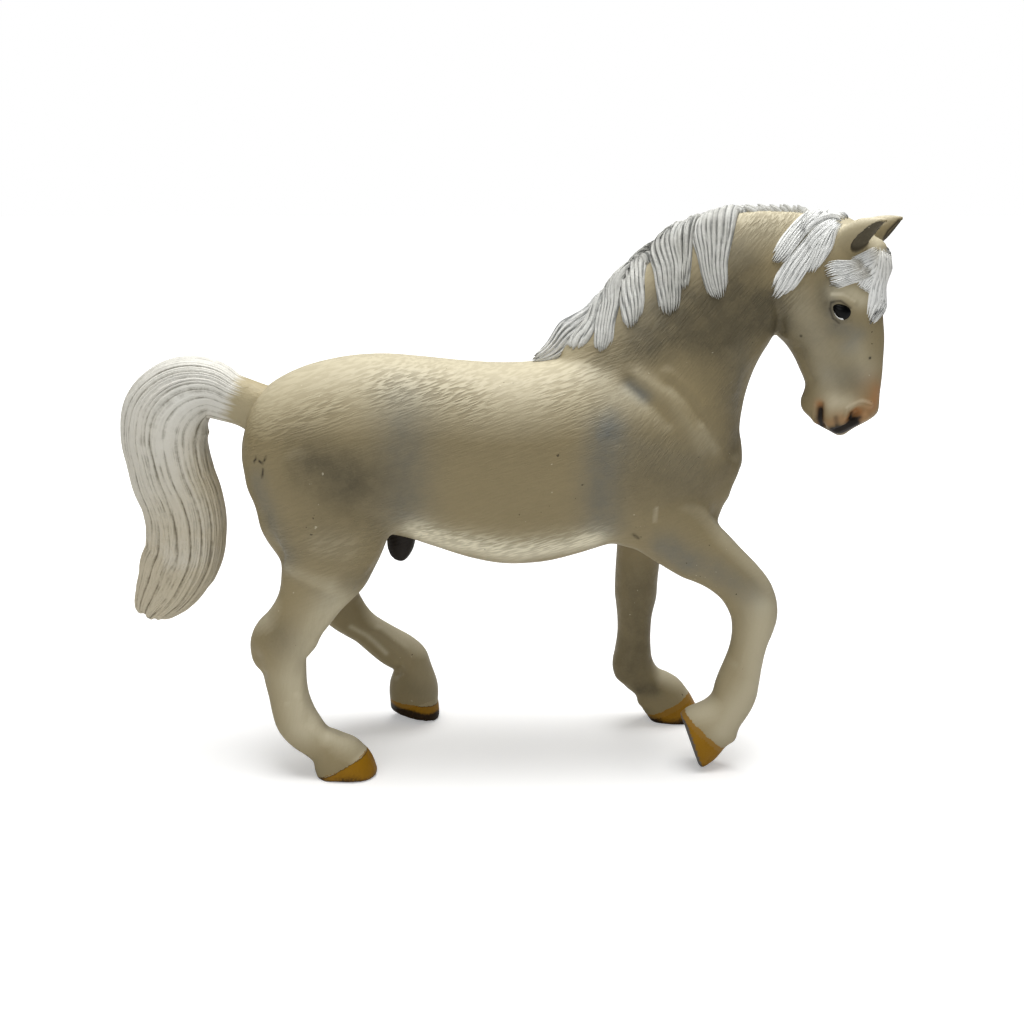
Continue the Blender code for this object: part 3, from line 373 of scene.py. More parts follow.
class Wire:
    """Places nodes in a node tree and joins them."""

    def __init__(self, tree: NodeTree) -> None:
        """Keep the tree."""
        self.tree = tree

    def feed(self, node: Node, inputs: dict) -> Node:
        """Give a node's inputs, by name or number, plain values or sockets to link from.

        Args:
            node: the node.
            inputs: plain values or sockets by name or number.

        Returns:
            The node.
        """
        for name, value in inputs.items():
            if isinstance(value, Socket):
                self.tree.links.new(value, node.inputs[name])
            else:
                node.inputs[name].default_value = value
        return node

    def node(self, kind: str, inputs: dict | None = None, **settings) -> Node:
        """Add a node, set its options and feed its inputs.

        Args:
            kind: the node's type name.
            inputs: by name or number, a plain value or a socket to link from.
            settings: the node's own options.

        Returns:
            The node.
        """
        made = self.tree.nodes.new(kind)
        for name, value in settings.items():
            setattr(made, name, value)
        return self.feed(made, inputs or {})

    def maths(self, operation: str, *values: float | Socket, clamp: bool = False) -> Socket:
        """The result of one sum on numbers or sockets."""
        return self.node("ShaderNodeMath", dict(enumerate(values)), operation=operation,
                         use_clamp=clamp).outputs[0]

    def plus(self, first: float | Socket, second: float | Socket) -> Socket:
        """The sum of two values."""
        return self.maths("ADD", first, second)

    def less(self, first: float | Socket, second: float | Socket) -> Socket:
        """The first value less the second."""
        return self.maths("SUBTRACT", first, second)

    def times(self, first: float | Socket, second: float | Socket, clamp: bool = False) -> Socket:
        """The product of two values, held between nought and one if clamped."""
        return self.maths("MULTIPLY", first, second, clamp=clamp)

    def sway(self, value: Socket, amount: float | Socket) -> Socket:
        """How far a value lies over a half, times an amount."""
        return self.times(self.less(value, 0.5), amount)

    def mix(self, share: float | Socket, first: tuple | Socket, second: tuple | Socket,
            blend: str = "MIX") -> Socket:
        """Mix two colours."""
        return self.node("ShaderNodeMix", {0: share, 6: first, 7: second}, data_type="RGBA",
                         blend_type=blend).outputs[2]

    def span(self, value: Socket, low: float, high: float, start: float = 0.0,
             end: float = 1.0) -> Socket:
        """Carry a range of values to another range, smoothly and held at its ends."""
        return self.node("ShaderNodeMapRange", {
            "Value": value, "From Min": low, "From Max": high, "To Min": start, "To Max": end},
            interpolation_type="SMOOTHSTEP").outputs[0]

    def mark(self, name: str) -> Socket:
        """A value painted on the piece's points."""
        return self.node("ShaderNodeAttribute", attribute_name=name).outputs["Fac"]

    def place(self) -> Socket:
        """Places in the object's own coordinates."""
        return self.node("ShaderNodeTexCoord").outputs["Object"]

    def noise(self, place: Socket, scale: float | Socket, detail: float, **more: float) -> Socket:
        """The value of a noise with a scale, a detail and what else it is given."""
        return self.node("ShaderNodeTexNoise", {"Vector": place, "Scale": scale,
                                                "Detail": detail, **more}).outputs[0]

    def put(self, tree: NodeTree, **inputs: float) -> Socket:
        """Place a shared group with its own values and give its output."""
        return self.node("ShaderNodeGroup", inputs, node_tree=tree).outputs[0]


class SharedGroups:
    """The effects that more than one finish uses."""

    def __init__(self) -> None:
        """Build each group once."""
        self.strokes = self.build_strokes()
        self.flecks = self.build_flecks()
        self.mottle = self.build_mottle()

    def start(self, name: str, **inputs: float) -> tuple[Wire, dict[str, Socket], Socket]:
        """Start a group that takes numbers and gives one.

        Args:
            name: the group's name.
            inputs: the first value of each input.

        Returns:
            Its wire, its inputs by name and the places in the object's own coordinates.
        """
        tree = bpy.data.node_groups.new(name, "ShaderNodeTree")
        for label, value in inputs.items():
            tree.interface.new_socket(label, in_out="INPUT",
                                      socket_type="NodeSocketFloat").default_value = value
        tree.interface.new_socket("Mask", in_out="OUTPUT", socket_type="NodeSocketFloat")
        wire = Wire(tree)
        entry = wire.node("NodeGroupInput")
        return wire, {label: entry.outputs[label] for label in inputs}, wire.place()

    def end(self, wire: Wire, mask: Socket) -> NodeTree:
        """Lead a value to the group's output and give the group."""
        wire.node("NodeGroupOutput", {"Mask": mask})
        return wire.tree

    def build_strokes(self) -> NodeTree:
        """Short combed strokes: noise drawn out along a direction in the side view.

        Returns:
            The group.
        """
        wire, given, place = self.start("combed_strokes", Angle=0.5, Fineness=1.0)
        turned = wire.node("ShaderNodeVectorRotate", {"Vector": place, "Angle": given["Angle"]},
                           rotation_type="Y_AXIS").outputs[0]
        drawn = wire.node("ShaderNodeVectorMath", {0: turned, 1: (380.0, 900.0, 2900.0)},
                          operation="MULTIPLY").outputs[0]
        noise = wire.noise(drawn, given["Fineness"], 1.0, Roughness=0.45, Distortion=0.1)
        return self.end(wire, wire.span(noise, 0.36, 0.64))

    def build_flecks(self) -> NodeTree:
        """Small scattered flecks: the peaks of a fine noise, thinned by a coarse one.

        Returns:
            The group.
        """
        wire, given, place = self.start("paint_flecks", Fineness=900.0, Rarity=0.7)
        fine = wire.noise(place, given["Fineness"], 1.0)
        level = wire.plus(fine, wire.times(wire.noise(place, 90.0, 1.0), 0.35))
        return self.end(wire, wire.span(wire.less(level, given["Rarity"]), 0.0, 0.03))

    def build_mottle(self) -> NodeTree:
        """Slow uneven shade of a hand-sprayed coat: two sizes of noise, summed.

        Returns:
            The group.
        """
        wire, given, place = self.start("sprayed_mottle", Fineness=60.0)
        broad = wire.times(wire.noise(place, given["Fineness"], 3.0), 0.7)
        grain = wire.times(wire.noise(place, 2600.0, 2.0), 0.3)
        return self.end(wire, wire.span(wire.plus(broad, grain), 0.32, 0.68))


def new_material(name: str) -> tuple[Material, Wire, Node]:
    """A new material with its wire and its shader."""
    made = bpy.data.materials.new(name)
    made.use_nodes = True
    return made, Wire(made.node_tree), made.node_tree.nodes["Principled BSDF"]


def hoof_edge(wire: Wire, fine: Socket) -> tuple[Socket, Socket]:
    """The hoof mark made ragged by a fine mottle, and the hoof paint's mask from it."""
    ragged = wire.plus(wire.mark("hoof"), wire.sway(fine, 0.25))
    return ragged, wire.span(ragged, 0.48, 0.56)


class Finish:
    """What every finish shares: its names, its sheen and how its paint reaches the shader."""

    name = "finish"
    slot = "beige_vinyl"
    specular = 0.2
    rough = (0.4, 0.6)
    relief = 0.0

    def end(self, wire: Wire, shader: Node, colour: Socket, matt: Socket,
            height: Socket | None = None) -> None:
        """Lead colour, roughness and a relief to the shader.

        Args:
            wire: the material's wire.
            shader: its shader.
            colour: the paint.
            matt: where it lies between the finish's two roughnesses, from nought to one.
            height: the relief, if it has one, in shares of the finish's relief.
        """
        wire.feed(shader, {"Base Color": colour, "Specular IOR Level": self.specular,
                           "Roughness": wire.span(matt, 0.0, 1.0, *self.rough)})
        if height is not None:
            bump = wire.node("ShaderNodeBump", {"Height": height, "Distance": self.relief})
            wire.feed(shader, {"Normal": bump.outputs[0]})


@dataclass(frozen=True)
class CoatFinish(Finish):
    """Sprayed and brushed paint on the body, with painted highlight and shade: beige, grey
    patches, pale dry brushing.
    """

    name: str = "coat_paint"
    slot: str = "beige_vinyl"
    base: tuple = (0.272, 0.219, 0.117, 1)
    pale: tuple = (0.74, 0.685, 0.515, 1)
    grey: tuple = (0.125, 0.135, 0.13, 1)
    olive: tuple = (0.1, 0.083, 0.048, 1)
    brown: tuple = (0.012, 0.008, 0.005, 1)
    orange: tuple = (0.36, 0.185, 0.075, 1)
    ochre: tuple = (0.27, 0.13, 0.003, 1)
    # How much darker the slow mottle makes the base
    mottled: float = 0.8
    # The combed strokes' angles in radians: barrel, neck, legs
    angles: tuple = (0.35, 0.85, 1.4)
    # Fineness, strength and paint of the dark and the pale flecks, and how rare they are
    flecks: tuple = ((1500.0, 0.7, "brown"), (1200.0, 0.35, "pale"))
    rarity: float = 0.985
    specular: float = 0.2
    rough: tuple = (0.46, 0.58)
    relief: float = 0.12 * MM

    def build(self, shared: SharedGroups) -> Material:
        """Layer the paints by the marks on the skin and add the combed relief.

        Args:
            shared: the effects that finishes share.

        Returns:
            The material.
        """
        made, wire, shader = new_material(self.name)
        slow = wire.put(shared.mottle, Fineness=70.0)
        fine = wire.put(shared.mottle, Fineness=420.0)
        mix = wire.node("ShaderNodeAttribute", attribute_name="stroke_mix").outputs["Vector"]
        shares = wire.node("ShaderNodeSeparateXYZ", {0: mix}).outputs
        strokes = [wire.times(wire.put(shared.strokes, Angle=angle), shares[index])
                   for index, angle in enumerate(self.angles)]
        relief = wire.plus(wire.plus(strokes[0], strokes[1]), strokes[2])
        colour = wire.mix(wire.times(slow, 0.35), self.base,
                          (*(value * self.mottled for value in self.base[:3]), 1))
        # The pale share: dry brushing and, on upward faces, painted highlight; the combed strokes
        # lift it on their crowns.
        lift = wire.sway(relief, wire.times(wire.mark("combed"), 0.75))
        worn = wire.times(wire.mark("pale"), wire.plus(0.88, lift), clamp=True)
        for name in ("grey", "olive"):
            level = wire.times(wire.mark(name), wire.plus(0.8, wire.times(fine, 0.3)),
                               clamp=True)
            colour = wire.mix(level, colour, getattr(self, name))
        colour = wire.mix(worn, colour, self.pale)
        # Olive in the grooves of the combed strokes: painted shade on their relief.
        groove = wire.times(wire.less(1.0, relief), wire.times(wire.mark("combed"), 0.26))
        colour = wire.mix(groove, colour, self.olive)
        for name in ("orange", "brown"):
            colour = wire.mix(wire.mark(name), colour, getattr(self, name))
        low = wire.mix(wire.span(wire.mark("sole_shade"), 0.25, 0.9), self.ochre, self.brown)
        colour = wire.mix(wire.times(hoof_edge(wire, fine)[1], 0.9), colour, low)
        for fineness, strength, name in self.flecks:
            mask = wire.put(shared.flecks, Fineness=fineness, Rarity=self.rarity)
            colour = wire.mix(wire.times(mask, strength), colour, getattr(self, name))
        height = wire.plus(wire.times(relief, wire.mark("combed")), wire.times(fine, 0.12))
        self.end(wire, shader, colour, fine, height)
        return made


@dataclass(frozen=True)
class HoofFinish(Finish):
    """Ochre hoof paint that darkens towards the sole, more on the far hooves as painted shade."""

    name: str = "hoof_paint"
    slot: str = "ochre_hoof"
    ochre: tuple = (0.27, 0.13, 0.003, 1)
    dark: tuple = (0.022, 0.01, 0.002, 1)
    sole: tuple = (0.1, 0.095, 0.085, 1)
    coat: tuple = (0.33, 0.27, 0.16, 1)
    specular: float = 0.15
    rough: tuple = (0.42, 0.6)
    relief: float = 0.06 * MM

    def build(self, shared: SharedGroups) -> Material:
        """Grade from ochre to dark by the mark on each hoof, with a dark line at its top.

        Args:
            shared: the effects that finishes share.

        Returns:
            The material.
        """
        made, wire, shader = new_material(self.name)
        fine = wire.put(shared.mottle, Fineness=300.0)
        level = wire.plus(wire.mark("sole_shade"), wire.sway(fine, 0.4))
        colour = wire.mix(wire.span(level, 0.25, 0.85), self.ochre, self.dark)
        colour = wire.mix(wire.mark("sole"), colour, self.sole)
        ragged, mask = hoof_edge(wire, fine)
        colour = wire.mix(mask, self.coat, colour)
        away = wire.maths("ABSOLUTE", wire.times(wire.less(ragged, 0.56), 9.0))
        line = wire.maths("SUBTRACT", 1.0, away, clamp=True)
        colour = wire.mix(wire.times(line, 0.75), colour, self.dark)
        self.end(wire, shader, colour, fine, fine)
        return made


@dataclass(frozen=True)
class HairFinish(Finish):
    """White brushed paint on the raised strands, greyer in the grooves between them."""

    name: str = "mane_paint"
    slot: str = "white_hair"
    crown: tuple = (0.8, 0.805, 0.78, 1)
    groove: tuple = (0.26, 0.268, 0.26, 1)
    tint: tuple = (0.45, 0.44, 0.4, 1)
    coat: tuple = (0.4, 0.34, 0.21, 1)
    specular: float = 0.25
    rough: tuple = (0.42, 0.56)
    relief: float = 0.08 * MM

    def build(self, shared: SharedGroups) -> Material:
        """Mix crown and groove paint by the ridge mark, with a slow tint and worn roots.

        Args:
            shared: the effects that finishes share.

        Returns:
            The material.
        """
        made, wire, shader = new_material(self.name)
        slow = wire.put(shared.mottle, Fineness=110.0)
        fine = wire.put(shared.mottle, Fineness=600.0)
        level = wire.plus(wire.mark("ridge"), wire.sway(fine, 0.3))
        colour = wire.mix(wire.span(level, 0.05, 0.75), self.groove, self.crown)
        shade = wire.times(wire.mark("tint"), wire.plus(0.6, wire.times(slow, 0.5)), clamp=True)
        colour = wire.mix(shade, colour, self.tint, "MULTIPLY")
        colour = wire.mix(wire.mark("coat"), colour, self.coat)
        self.end(wire, shader, colour, fine, fine)
        return made


@dataclass(frozen=True)
class EyeFinish(Finish):
    """Glossy black paint with a white lower rim."""

    name: str = "eye_paint"
    slot: str = "black_eye"
    black: tuple = (0.0008, 0.0008, 0.0008, 1)
    rim: tuple = (0.72, 0.72, 0.7, 1)
    specular: float = 0.12
    rough: tuple = (0.25, 0.5)

    def build(self, shared: SharedGroups) -> Material:
        """Black inside, white where the rim mark says.

        Args:
            shared: the effects that finishes share.

        Returns:
            The material.
        """
        made, wire, shader = new_material(self.name)
        fine = wire.put(shared.mottle, Fineness=900.0)
        mask = wire.span(wire.plus(wire.mark("rim"), wire.sway(fine, 0.2)), 0.45, 0.6)
        self.end(wire, shader, wire.mix(mask, self.black, self.rim), mask)
        return made


# Pieces

def write_piece(name: str, form: Form, material: Material, marks: dict[str, Array],
                normals: Array | None = None, closed: bool = True) -> Object:
    """Turn a form into an object with its painted marks.

    Args:
        name: the piece's name.
        form: its points and triangles.
        material: its finish.
        marks: values or vectors for each point, by name.
        normals: normals for each point where the piece goes on in a neighbour.
        closed: whether the form has no open rim; an open one gets a cap.

    Returns:
        The object, smooth shaded.
    """
    mesh = form_mesh(name, form)
    if not closed:
        close_rims(mesh)
    extra = len(mesh.vertices) - len(form.points)
    for label, values in marks.items():
        values = np.concatenate([values, np.repeat(values[:1], extra, axis=0)])
        kind = "FLOAT" if values.ndim == 1 else "FLOAT_VECTOR"
        layer = mesh.attributes.new(label, kind, "POINT")
        layer.data.foreach_set("value" if kind == "FLOAT" else "vector",
                               values.astype(np.float32).ravel())
    mesh.materials.append(material)
    mesh.shade_smooth()
    if normals is not None:
        normals = np.vstack([normals, np.tile([0.0, 0.0, 1.0], (extra, 1))])
        mesh.normals_split_custom_set_from_vertices(normals.tolist())
    return add_object(name, mesh)


def close_rims(mesh: Mesh) -> None:
    """Cap every open rim of a mesh with a fan round a new point inside.

    Args:
        mesh: the mesh, which is changed.
    """
    work = bmesh.new()
    work.from_mesh(mesh)
    rims = [edge for edge in work.edges if edge.is_boundary]
    caps = bmesh.ops.holes_fill(work, edges=rims, sides=0)["faces"]
    bmesh.ops.poke(work, faces=caps)
    work.to_mesh(mesh)
    work.free()


def read_form(item: Object) -> Form:
    """The arrays of what an object's modifiers make.

    Args:
        item: the object.

    Returns:
        Its points and triangles.
    """
    bpy.context.view_layer.update()
    result = item.evaluated_get(bpy.context.evaluated_depsgraph_get())
    mesh = bpy.data.meshes.new_from_object(result)
    form = mesh_form(mesh)
    bpy.data.meshes.remove(mesh)
    return form


def mesh_form(mesh: Mesh) -> Form:
    """The points and the triangles of a mesh.

    Args:
        mesh: the mesh, whose faces may have any number of sides.

    Returns:
        Its points and triangles.
    """
    points = np.empty(len(mesh.vertices) * 3)
    mesh.vertices.foreach_get("co", points)
    mesh.calc_loop_triangles()
    faces = np.empty(len(mesh.loop_triangles) * 3, dtype=np.int32)
    mesh.loop_triangles.foreach_get("vertices", faces)
    return Form(points.reshape(-1, 3), faces.reshape(-1, 3))


def search_tree(form: Form) -> BVHTree:
    """A search tree over a form."""
    return BVHTree.FromPolygons(form.points.tolist(), form.faces.tolist())


class Mirror(Enum):
    """How a mark on the near side is repeated on the far side."""

    NONE = "none"
    BODY = "body"
    HEAD = "head"


NONE, BODY, HEAD = Mirror


@dataclass(frozen=True)
class Mark:
    """A soft line or spot on the skin, placed by pixels, with a half width in mm."""

    line: Pixels
    width: float
    amount: float
    mirror: Mirror = BODY


@dataclass
class Build:
    """The figure's plan: sizes in metres, and tables of shares of them."""

    shift: float = -47.208 * MM
    trunk_length: float = 90 * MM
    trunk_height: float = 56 * MM
    trunk_depth: float = 36 * MM
    trunk_width: float = 31 * MM
    neck_reach: float = 28.5 * MM
    neck_rise: float = 29.5 * MM
    neck_depth: float = 40 * MM
    neck_width: float = 24 * MM
    head_length: float = 38.5 * MM
    head_depth: float = 21 * MM
    head_width: float = 14 * MM
    head_turn: float = 20.0
    ear_length: float = 9.0 * MM
    ear_width: float = 5.2 * MM
    ear_thickness: float = 3.7 * MM
    ear_spread: float = 8.4 * MM
    ear_hollow: float = 1.5 * MM
    sheath: tuple = (5.4 * MM, 4.4 * MM, 9.0 * MM, 8.0)
    hoof_length: float = 10.2 * MM
    hoof_width: float = 9.2 * MM
    hoof_height: float = 2.7 * MM
    hoof_rake: float = 0.9 * MM
    hoof_edge: float = 0.5 * MM
    toe_flat: float = 0.3 * MM
    coronet_slope: float = 28.0

    neck_base = (0.794, 1.109)
    head_poll = (0.04, 0.365)
    trunk_rows = (
        (0.0, 0.12, 0.01, 0.26), (0.02, 0.27, 0.18, 0.56), (0.055, 0.375, 0.29, 0.77),
        (0.12, 0.46, 0.34, 0.9), (0.2, 0.51, 0.36, 0.97), (0.28, 0.526, 0.37, 0.98),
        (0.36, 0.512, 0.415, 0.95), (0.44, 0.492, 0.48, 0.97), (0.52, 0.481, 0.528, 1.0),
        (0.6, 0.492, 0.525, 1.0), (0.68, 0.53, 0.475, 0.97), (0.76, 0.54, 0.41, 0.92),
        (0.84, 0.49, 0.37, 0.84), (0.91, 0.395, 0.285, 0.72), (0.96, 0.27, 0.17, 0.54),
        (1.0, 0.11, 0.03, 0.28),
    )
    masses = (
        ((0.155, -0.12), 0.24, (0.125, 0.255, 0.43), 8),
        ((0.81, -0.07), 0.19, (0.105, 0.245, 0.37), 24),
        ((0.888, -0.15), 0.13, (0.08, 0.2, 0.34), 14),
    )
    sheath_place = (0.312, -0.42)
    neck_rows = (
        (0.0, 0.0, 0.98, 1.0, 138.0), (0.14, 0.205, 0.93, 0.917, 138.0),
        (0.234, 0.405, 0.822, 0.817, 134.0), (0.357, 0.603, 0.727, 0.717, 128.0),
        (0.515, 0.778, 0.66, 0.65, 117.0), (0.68, 0.888, 0.59, 0.6, 106.0),
        (0.835, 0.949, 0.495, 0.56, 94.0), (1.0, 1.0, 0.4, 0.5, 86.0),
    )
    head_rows = (
        (0.0, -0.06, 0.26, 0.42, 0.0), (0.05, -0.16, 0.42, 0.66, 0.0),
        (0.12, -0.26, 0.5, 0.8, 0.05), (0.2, -0.32, 0.56, 0.88, 0.1),
        (0.29, -0.34, 0.59, 0.95, 0.14), (0.38, -0.33, 0.61, 1.0, 0.12),
        (0.47, -0.31, 0.63, 0.96, -0.02), (0.53, -0.27, 0.645, 0.87, -0.12),
        (0.58, -0.17, 0.65, 0.79, -0.17), (0.64, -0.09, 0.65, 0.71, -0.18),
        (0.7, -0.035, 0.65, 0.64, -0.14), (0.76, 0.015, 0.645, 0.61, -0.05),
        (0.8, 0.01, 0.64, 0.6, 0.02), (0.85, -0.015, 0.64, 0.62, 0.05),
        (0.89, 0.015, 0.63, 0.64, 0.08), (0.925, 0.08, 0.56, 0.62, 0.08),
        (0.955, 0.15, 0.47, 0.54, 0.05), (0.98, 0.24, 0.41, 0.4, 0.02),
        (1.0, 0.3, 0.37, 0.22, 0.0),
    )
    cheek = ((-0.02, 0.46, 0.43), (0.24, 0.25, 0.15))
    ear_foot = {-1: (0.27, 0.125), 1: (0.34, 0.125)}
    ear_lean = (0.8, 0.2, 0.45)
    ear_rows = ((-0.15, 0.6), (0.05, 0.84), (0.3, 1.0), (0.55, 0.94), (0.78, 0.62),
                (0.94, 0.3), (1.02, 0.12))
    # Hip place, hip height, swing, depth, width, hip spread, hoof spread
    leg_sizes = {
        "hind": (0.172, 52 * MM, 10 * MM, 28 * MM, 14 * MM, 17 * MM, 27 * MM),
        "fore": (0.817, 50 * MM, 10 * MM, 17 * MM, 12 * MM, 16 * MM, 26 * MM),
    }
    leg_rows = {
        "right_hindleg": (
            (0.06, 1.0, 0.9, 0.86), (0.0, 0.91, 0.9, 0.92), (0.02, 0.855, 0.81, 0.92),
            (0.01, 0.79, 0.695, 0.88), (-0.03, 0.745, 0.605, 0.82), (-0.13, 0.7, 0.535, 0.76),
            (-0.22, 0.662, 0.47, 0.71), (-0.31, 0.625, 0.415, 0.67), (-0.41, 0.59, 0.385, 0.64),
            (-0.53, 0.556, 0.367, 0.61), (-0.67, 0.52, 0.362, 0.6), (-0.82, 0.478, 0.395, 0.6),
            (-0.88, 0.43, 0.375, 0.55), (-0.82, 0.385, 0.31, 0.5), (-0.77, 0.333, 0.27, 0.47),
            (-0.73, 0.288, 0.256, 0.47), (-0.68, 0.244, 0.264, 0.49), (-0.59, 0.195, 0.275, 0.51),
            (-0.43, 0.155, 0.262, 0.51), (-0.22, 0.12, 0.235, 0.5), (-0.06, 0.1, 0.27, 0.53),
            (0.06, 0.077, 0.33, 0.58), (0.18, 0.048, 0.365, 0.62), (0.26, 0.02, 0.36, 0.62),
        ),
        "left_hindleg": (
            (0.1, 1.0, 0.9, 0.9), (0.05, 0.86, 0.77, 0.9), (0.0, 0.74, 0.56, 0.8),
            (-0.11, 0.64, 0.44, 0.71), (-0.17, 0.56, 0.375, 0.65), (-0.12, 0.49, 0.33, 0.6),
            (0.06, 0.438, 0.29, 0.56), (0.24, 0.402, 0.25, 0.51), (0.42, 0.373, 0.225, 0.48),
            (0.63, 0.34, 0.24, 0.48), (0.9, 0.3, 0.264, 0.5), (1.12, 0.273, 0.265, 0.52),
            (1.29, 0.248, 0.248, 0.53), (1.33, 0.222, 0.255, 0.53), (1.34, 0.192, 0.29, 0.55),
            (1.34, 0.155, 0.335, 0.58), (1.34, 0.11, 0.35, 0.6), (1.34, 0.06, 0.335, 0.6),
        ),
        "right_foreleg": (
            (0.0, 1.06, 0.96, 0.7), (0.14, 0.96, 0.92, 0.84), (0.42, 0.895, 0.84, 0.88),
            (0.77, 0.83, 0.715, 0.85), (1.0, 0.798, 0.64, 0.8), (1.28, 0.755, 0.555, 0.75),
            (1.56, 0.704, 0.525, 0.71), (1.76, 0.65, 0.53, 0.69), (1.86, 0.59, 0.505, 0.66),
            (1.85, 0.535, 0.45, 0.6), (1.81, 0.49, 0.4, 0.54), (1.76, 0.44, 0.385, 0.52),
            (1.7, 0.39, 0.41, 0.53), (1.63, 0.335, 0.45, 0.58), (1.58, 0.29, 0.47, 0.62),
            (1.52, 0.25, 0.45, 0.62), (1.38, 0.208, 0.46, 0.63), (1.22, 0.172, 0.53, 0.68),
            (1.03, 0.14, 0.6, 0.72), (0.85, 0.115, 0.59, 0.7),
        ),
        "left_foreleg": (
            (0.12, 1.06, 0.86, 0.7), (0.06, 0.93, 0.7, 0.84), (-0.02, 0.83, 0.57, 0.8),
            (-0.06, 0.74, 0.51, 0.74), (-0.09, 0.64, 0.49, 0.72), (-0.1, 0.58, 0.485, 0.7),
            (-0.1, 0.53, 0.475, 0.67), (-0.11, 0.455, 0.405, 0.58), (-0.11, 0.375, 0.385, 0.54),
            (-0.12, 0.295, 0.425, 0.58), (-0.11, 0.24, 0.47, 0.62), (0.03, 0.193, 0.435, 0.62),
            (0.2, 0.16, 0.4, 0.6), (0.34, 0.135, 0.48, 0.64), (0.46, 0.108, 0.55, 0.68),
            (0.58, 0.075, 0.56, 0.7), (0.7, 0.04, 0.56, 0.7),
        ),
    }
    # Sole's swing, pitch in degrees and share of the hoof spread
    hoof_rows = {
        "right_hindleg": (0.35, 0.0, 1.0), "left_hindleg": (1.34, -14.0, 1.0),
        "right_foreleg": (0.79, -70.0, 0.74), "left_foreleg": (0.74, 0.0, 1.0),
    }
    hoof_rings = (0.95, 1.0, 0.97, 0.93)
    # Seam's swing, height, slope in degrees, and its reach behind and ahead in leg depths
    seam_rows = {
        "right_hindleg": (0.1, 0.745, 0.0, 0.62, 0.62),
        "left_hindleg": (0.25, 0.745, 0.0, 0.62, 0.62),
        "right_foreleg": (0.6, 0.86, 26.0, 0.62, 1.5),
        "left_foreleg": (0.0, 0.8, 0.0, 0.62, 0.62),
    }
    seam_inset = 0.2
    throat_seam = ((0.79, 0.6), (1.053, 1.322))

    def trunk_place(self, along: float | Array, rise: float | Array,
                    across: float | Array = 0.0) -> Array:
        """Places in the trunk, in shares of its length, depth and width."""
        along, rise, across = np.broadcast_arrays(along, rise, across)
        return np.stack([along * self.trunk_length + self.shift, across * self.trunk_width,
                         self.trunk_height + rise * self.trunk_depth], -1)

    def neck_place(self, reach: float | Array, rise: float | Array) -> Array:
        """Places on the neck's middle plane, in shares of its reach and rise.

        Args:
            reach: in shares of the neck's reach.
            rise: in shares of its rise.

        Returns:
            One place for each pair.
        """
        reach, rise = np.broadcast_arrays(reach, rise)
        x = self.neck_base[0] * self.trunk_length + reach * self.neck_reach + self.shift
        z = self.neck_base[1] * self.trunk_height + rise * self.neck_rise
        return np.stack([x, np.zeros_like(x), z], -1)

    def head_turned(self) -> Array:
        """The head's turn as a matrix."""
        return np.array(Matrix.Rotation(math.radians(-self.head_turn), 3, "Z"))

    def mirrored(self, places: Array, mirror: Mirror) -> Array:
        """Places carried to the far side of the body or of the turned head."""
        if mirror is HEAD:
            return self.head_place(self.head_local(places) * FAR)
        return places * FAR if mirror is BODY else places

    def poll(self) -> Array:
        """The head's origin."""
        lift = np.array([self.head_poll[0], 0, self.head_poll[1]]) * self.head_depth
        return self.neck_place(1.0, 1.0) + lift

    def head_place(self, local: Array) -> Array:
        """Carry places in the head's own frame, in metres, into the row frame."""
        return local @ self.head_turned().T + self.poll()

    def head_local(self, points: Array) -> Array:
        """Carry places in the row frame into the head's own frame."""
        return (points - self.poll()) @ self.head_turned()

    def head_share(self, forward: float, across: float, down: float) -> Array:
        """A place in the head, in shares of its depth, half width and length."""
        return self.head_place(np.array([forward * self.head_depth,
                                         across * self.head_width / 2,
                                         -down * self.head_length]))

    def leg_size(self, name: str) -> tuple[float, ...]:
        """The sizes of a hind or of a fore leg."""
        return self.leg_sizes["hind" if "hind" in name else "fore"]

    def leg_place(self, name: str, swing: float | Array, height: float | Array) -> Array:
        """Places in the plane of a leg, which leans outwards towards the hoof.

        Args:
            name: the leg.
            swing: forward of the hip, in swings of the leg.
            height: in shares of the hip's height.

        Returns:
            One place for each pair.
        """
        hip, tall, reach, _, _, top, foot = self.leg_size(name)
        foot = foot * self.hoof_rows[name][2]
        side = -1 if name.startswith("right") else 1
        swing, height = np.broadcast_arrays(swing, height)
        x = hip * self.trunk_length + swing * reach + self.shift
        return np.stack([x, side * (foot + (top - foot) * height) / 2, height * tall], -1)

    def hoof_frame(self, name: str) -> tuple[Array, Array, Array, Array, Array, Array]:
        """A hoof's sole, toe and upward directions, coronet, its run and its normal.

        Args:
            name: the leg.

        Returns:
            The middle of the sole, the toe's and the upward direction, the middle of the coronet,
            the direction in which the coronet runs, and its normal.
        """
        swing, pitch, _ = self.hoof_rows[name]
        toe, up = pitched(pitch)
        sole = self.leg_place(name, swing, 0.0)
        sole[2] += max(self.hoof_length / 2 * abs(toe[2]) - self.toe_flat, 0.0)
        coronet = sole + up * self.hoof_height - toe * self.hoof_rake
        return sole, toe, up, coronet, *pitched(pitch + self.coronet_slope)


LEGS = ("right_hindleg", "left_hindleg", "right_foreleg", "left_foreleg")


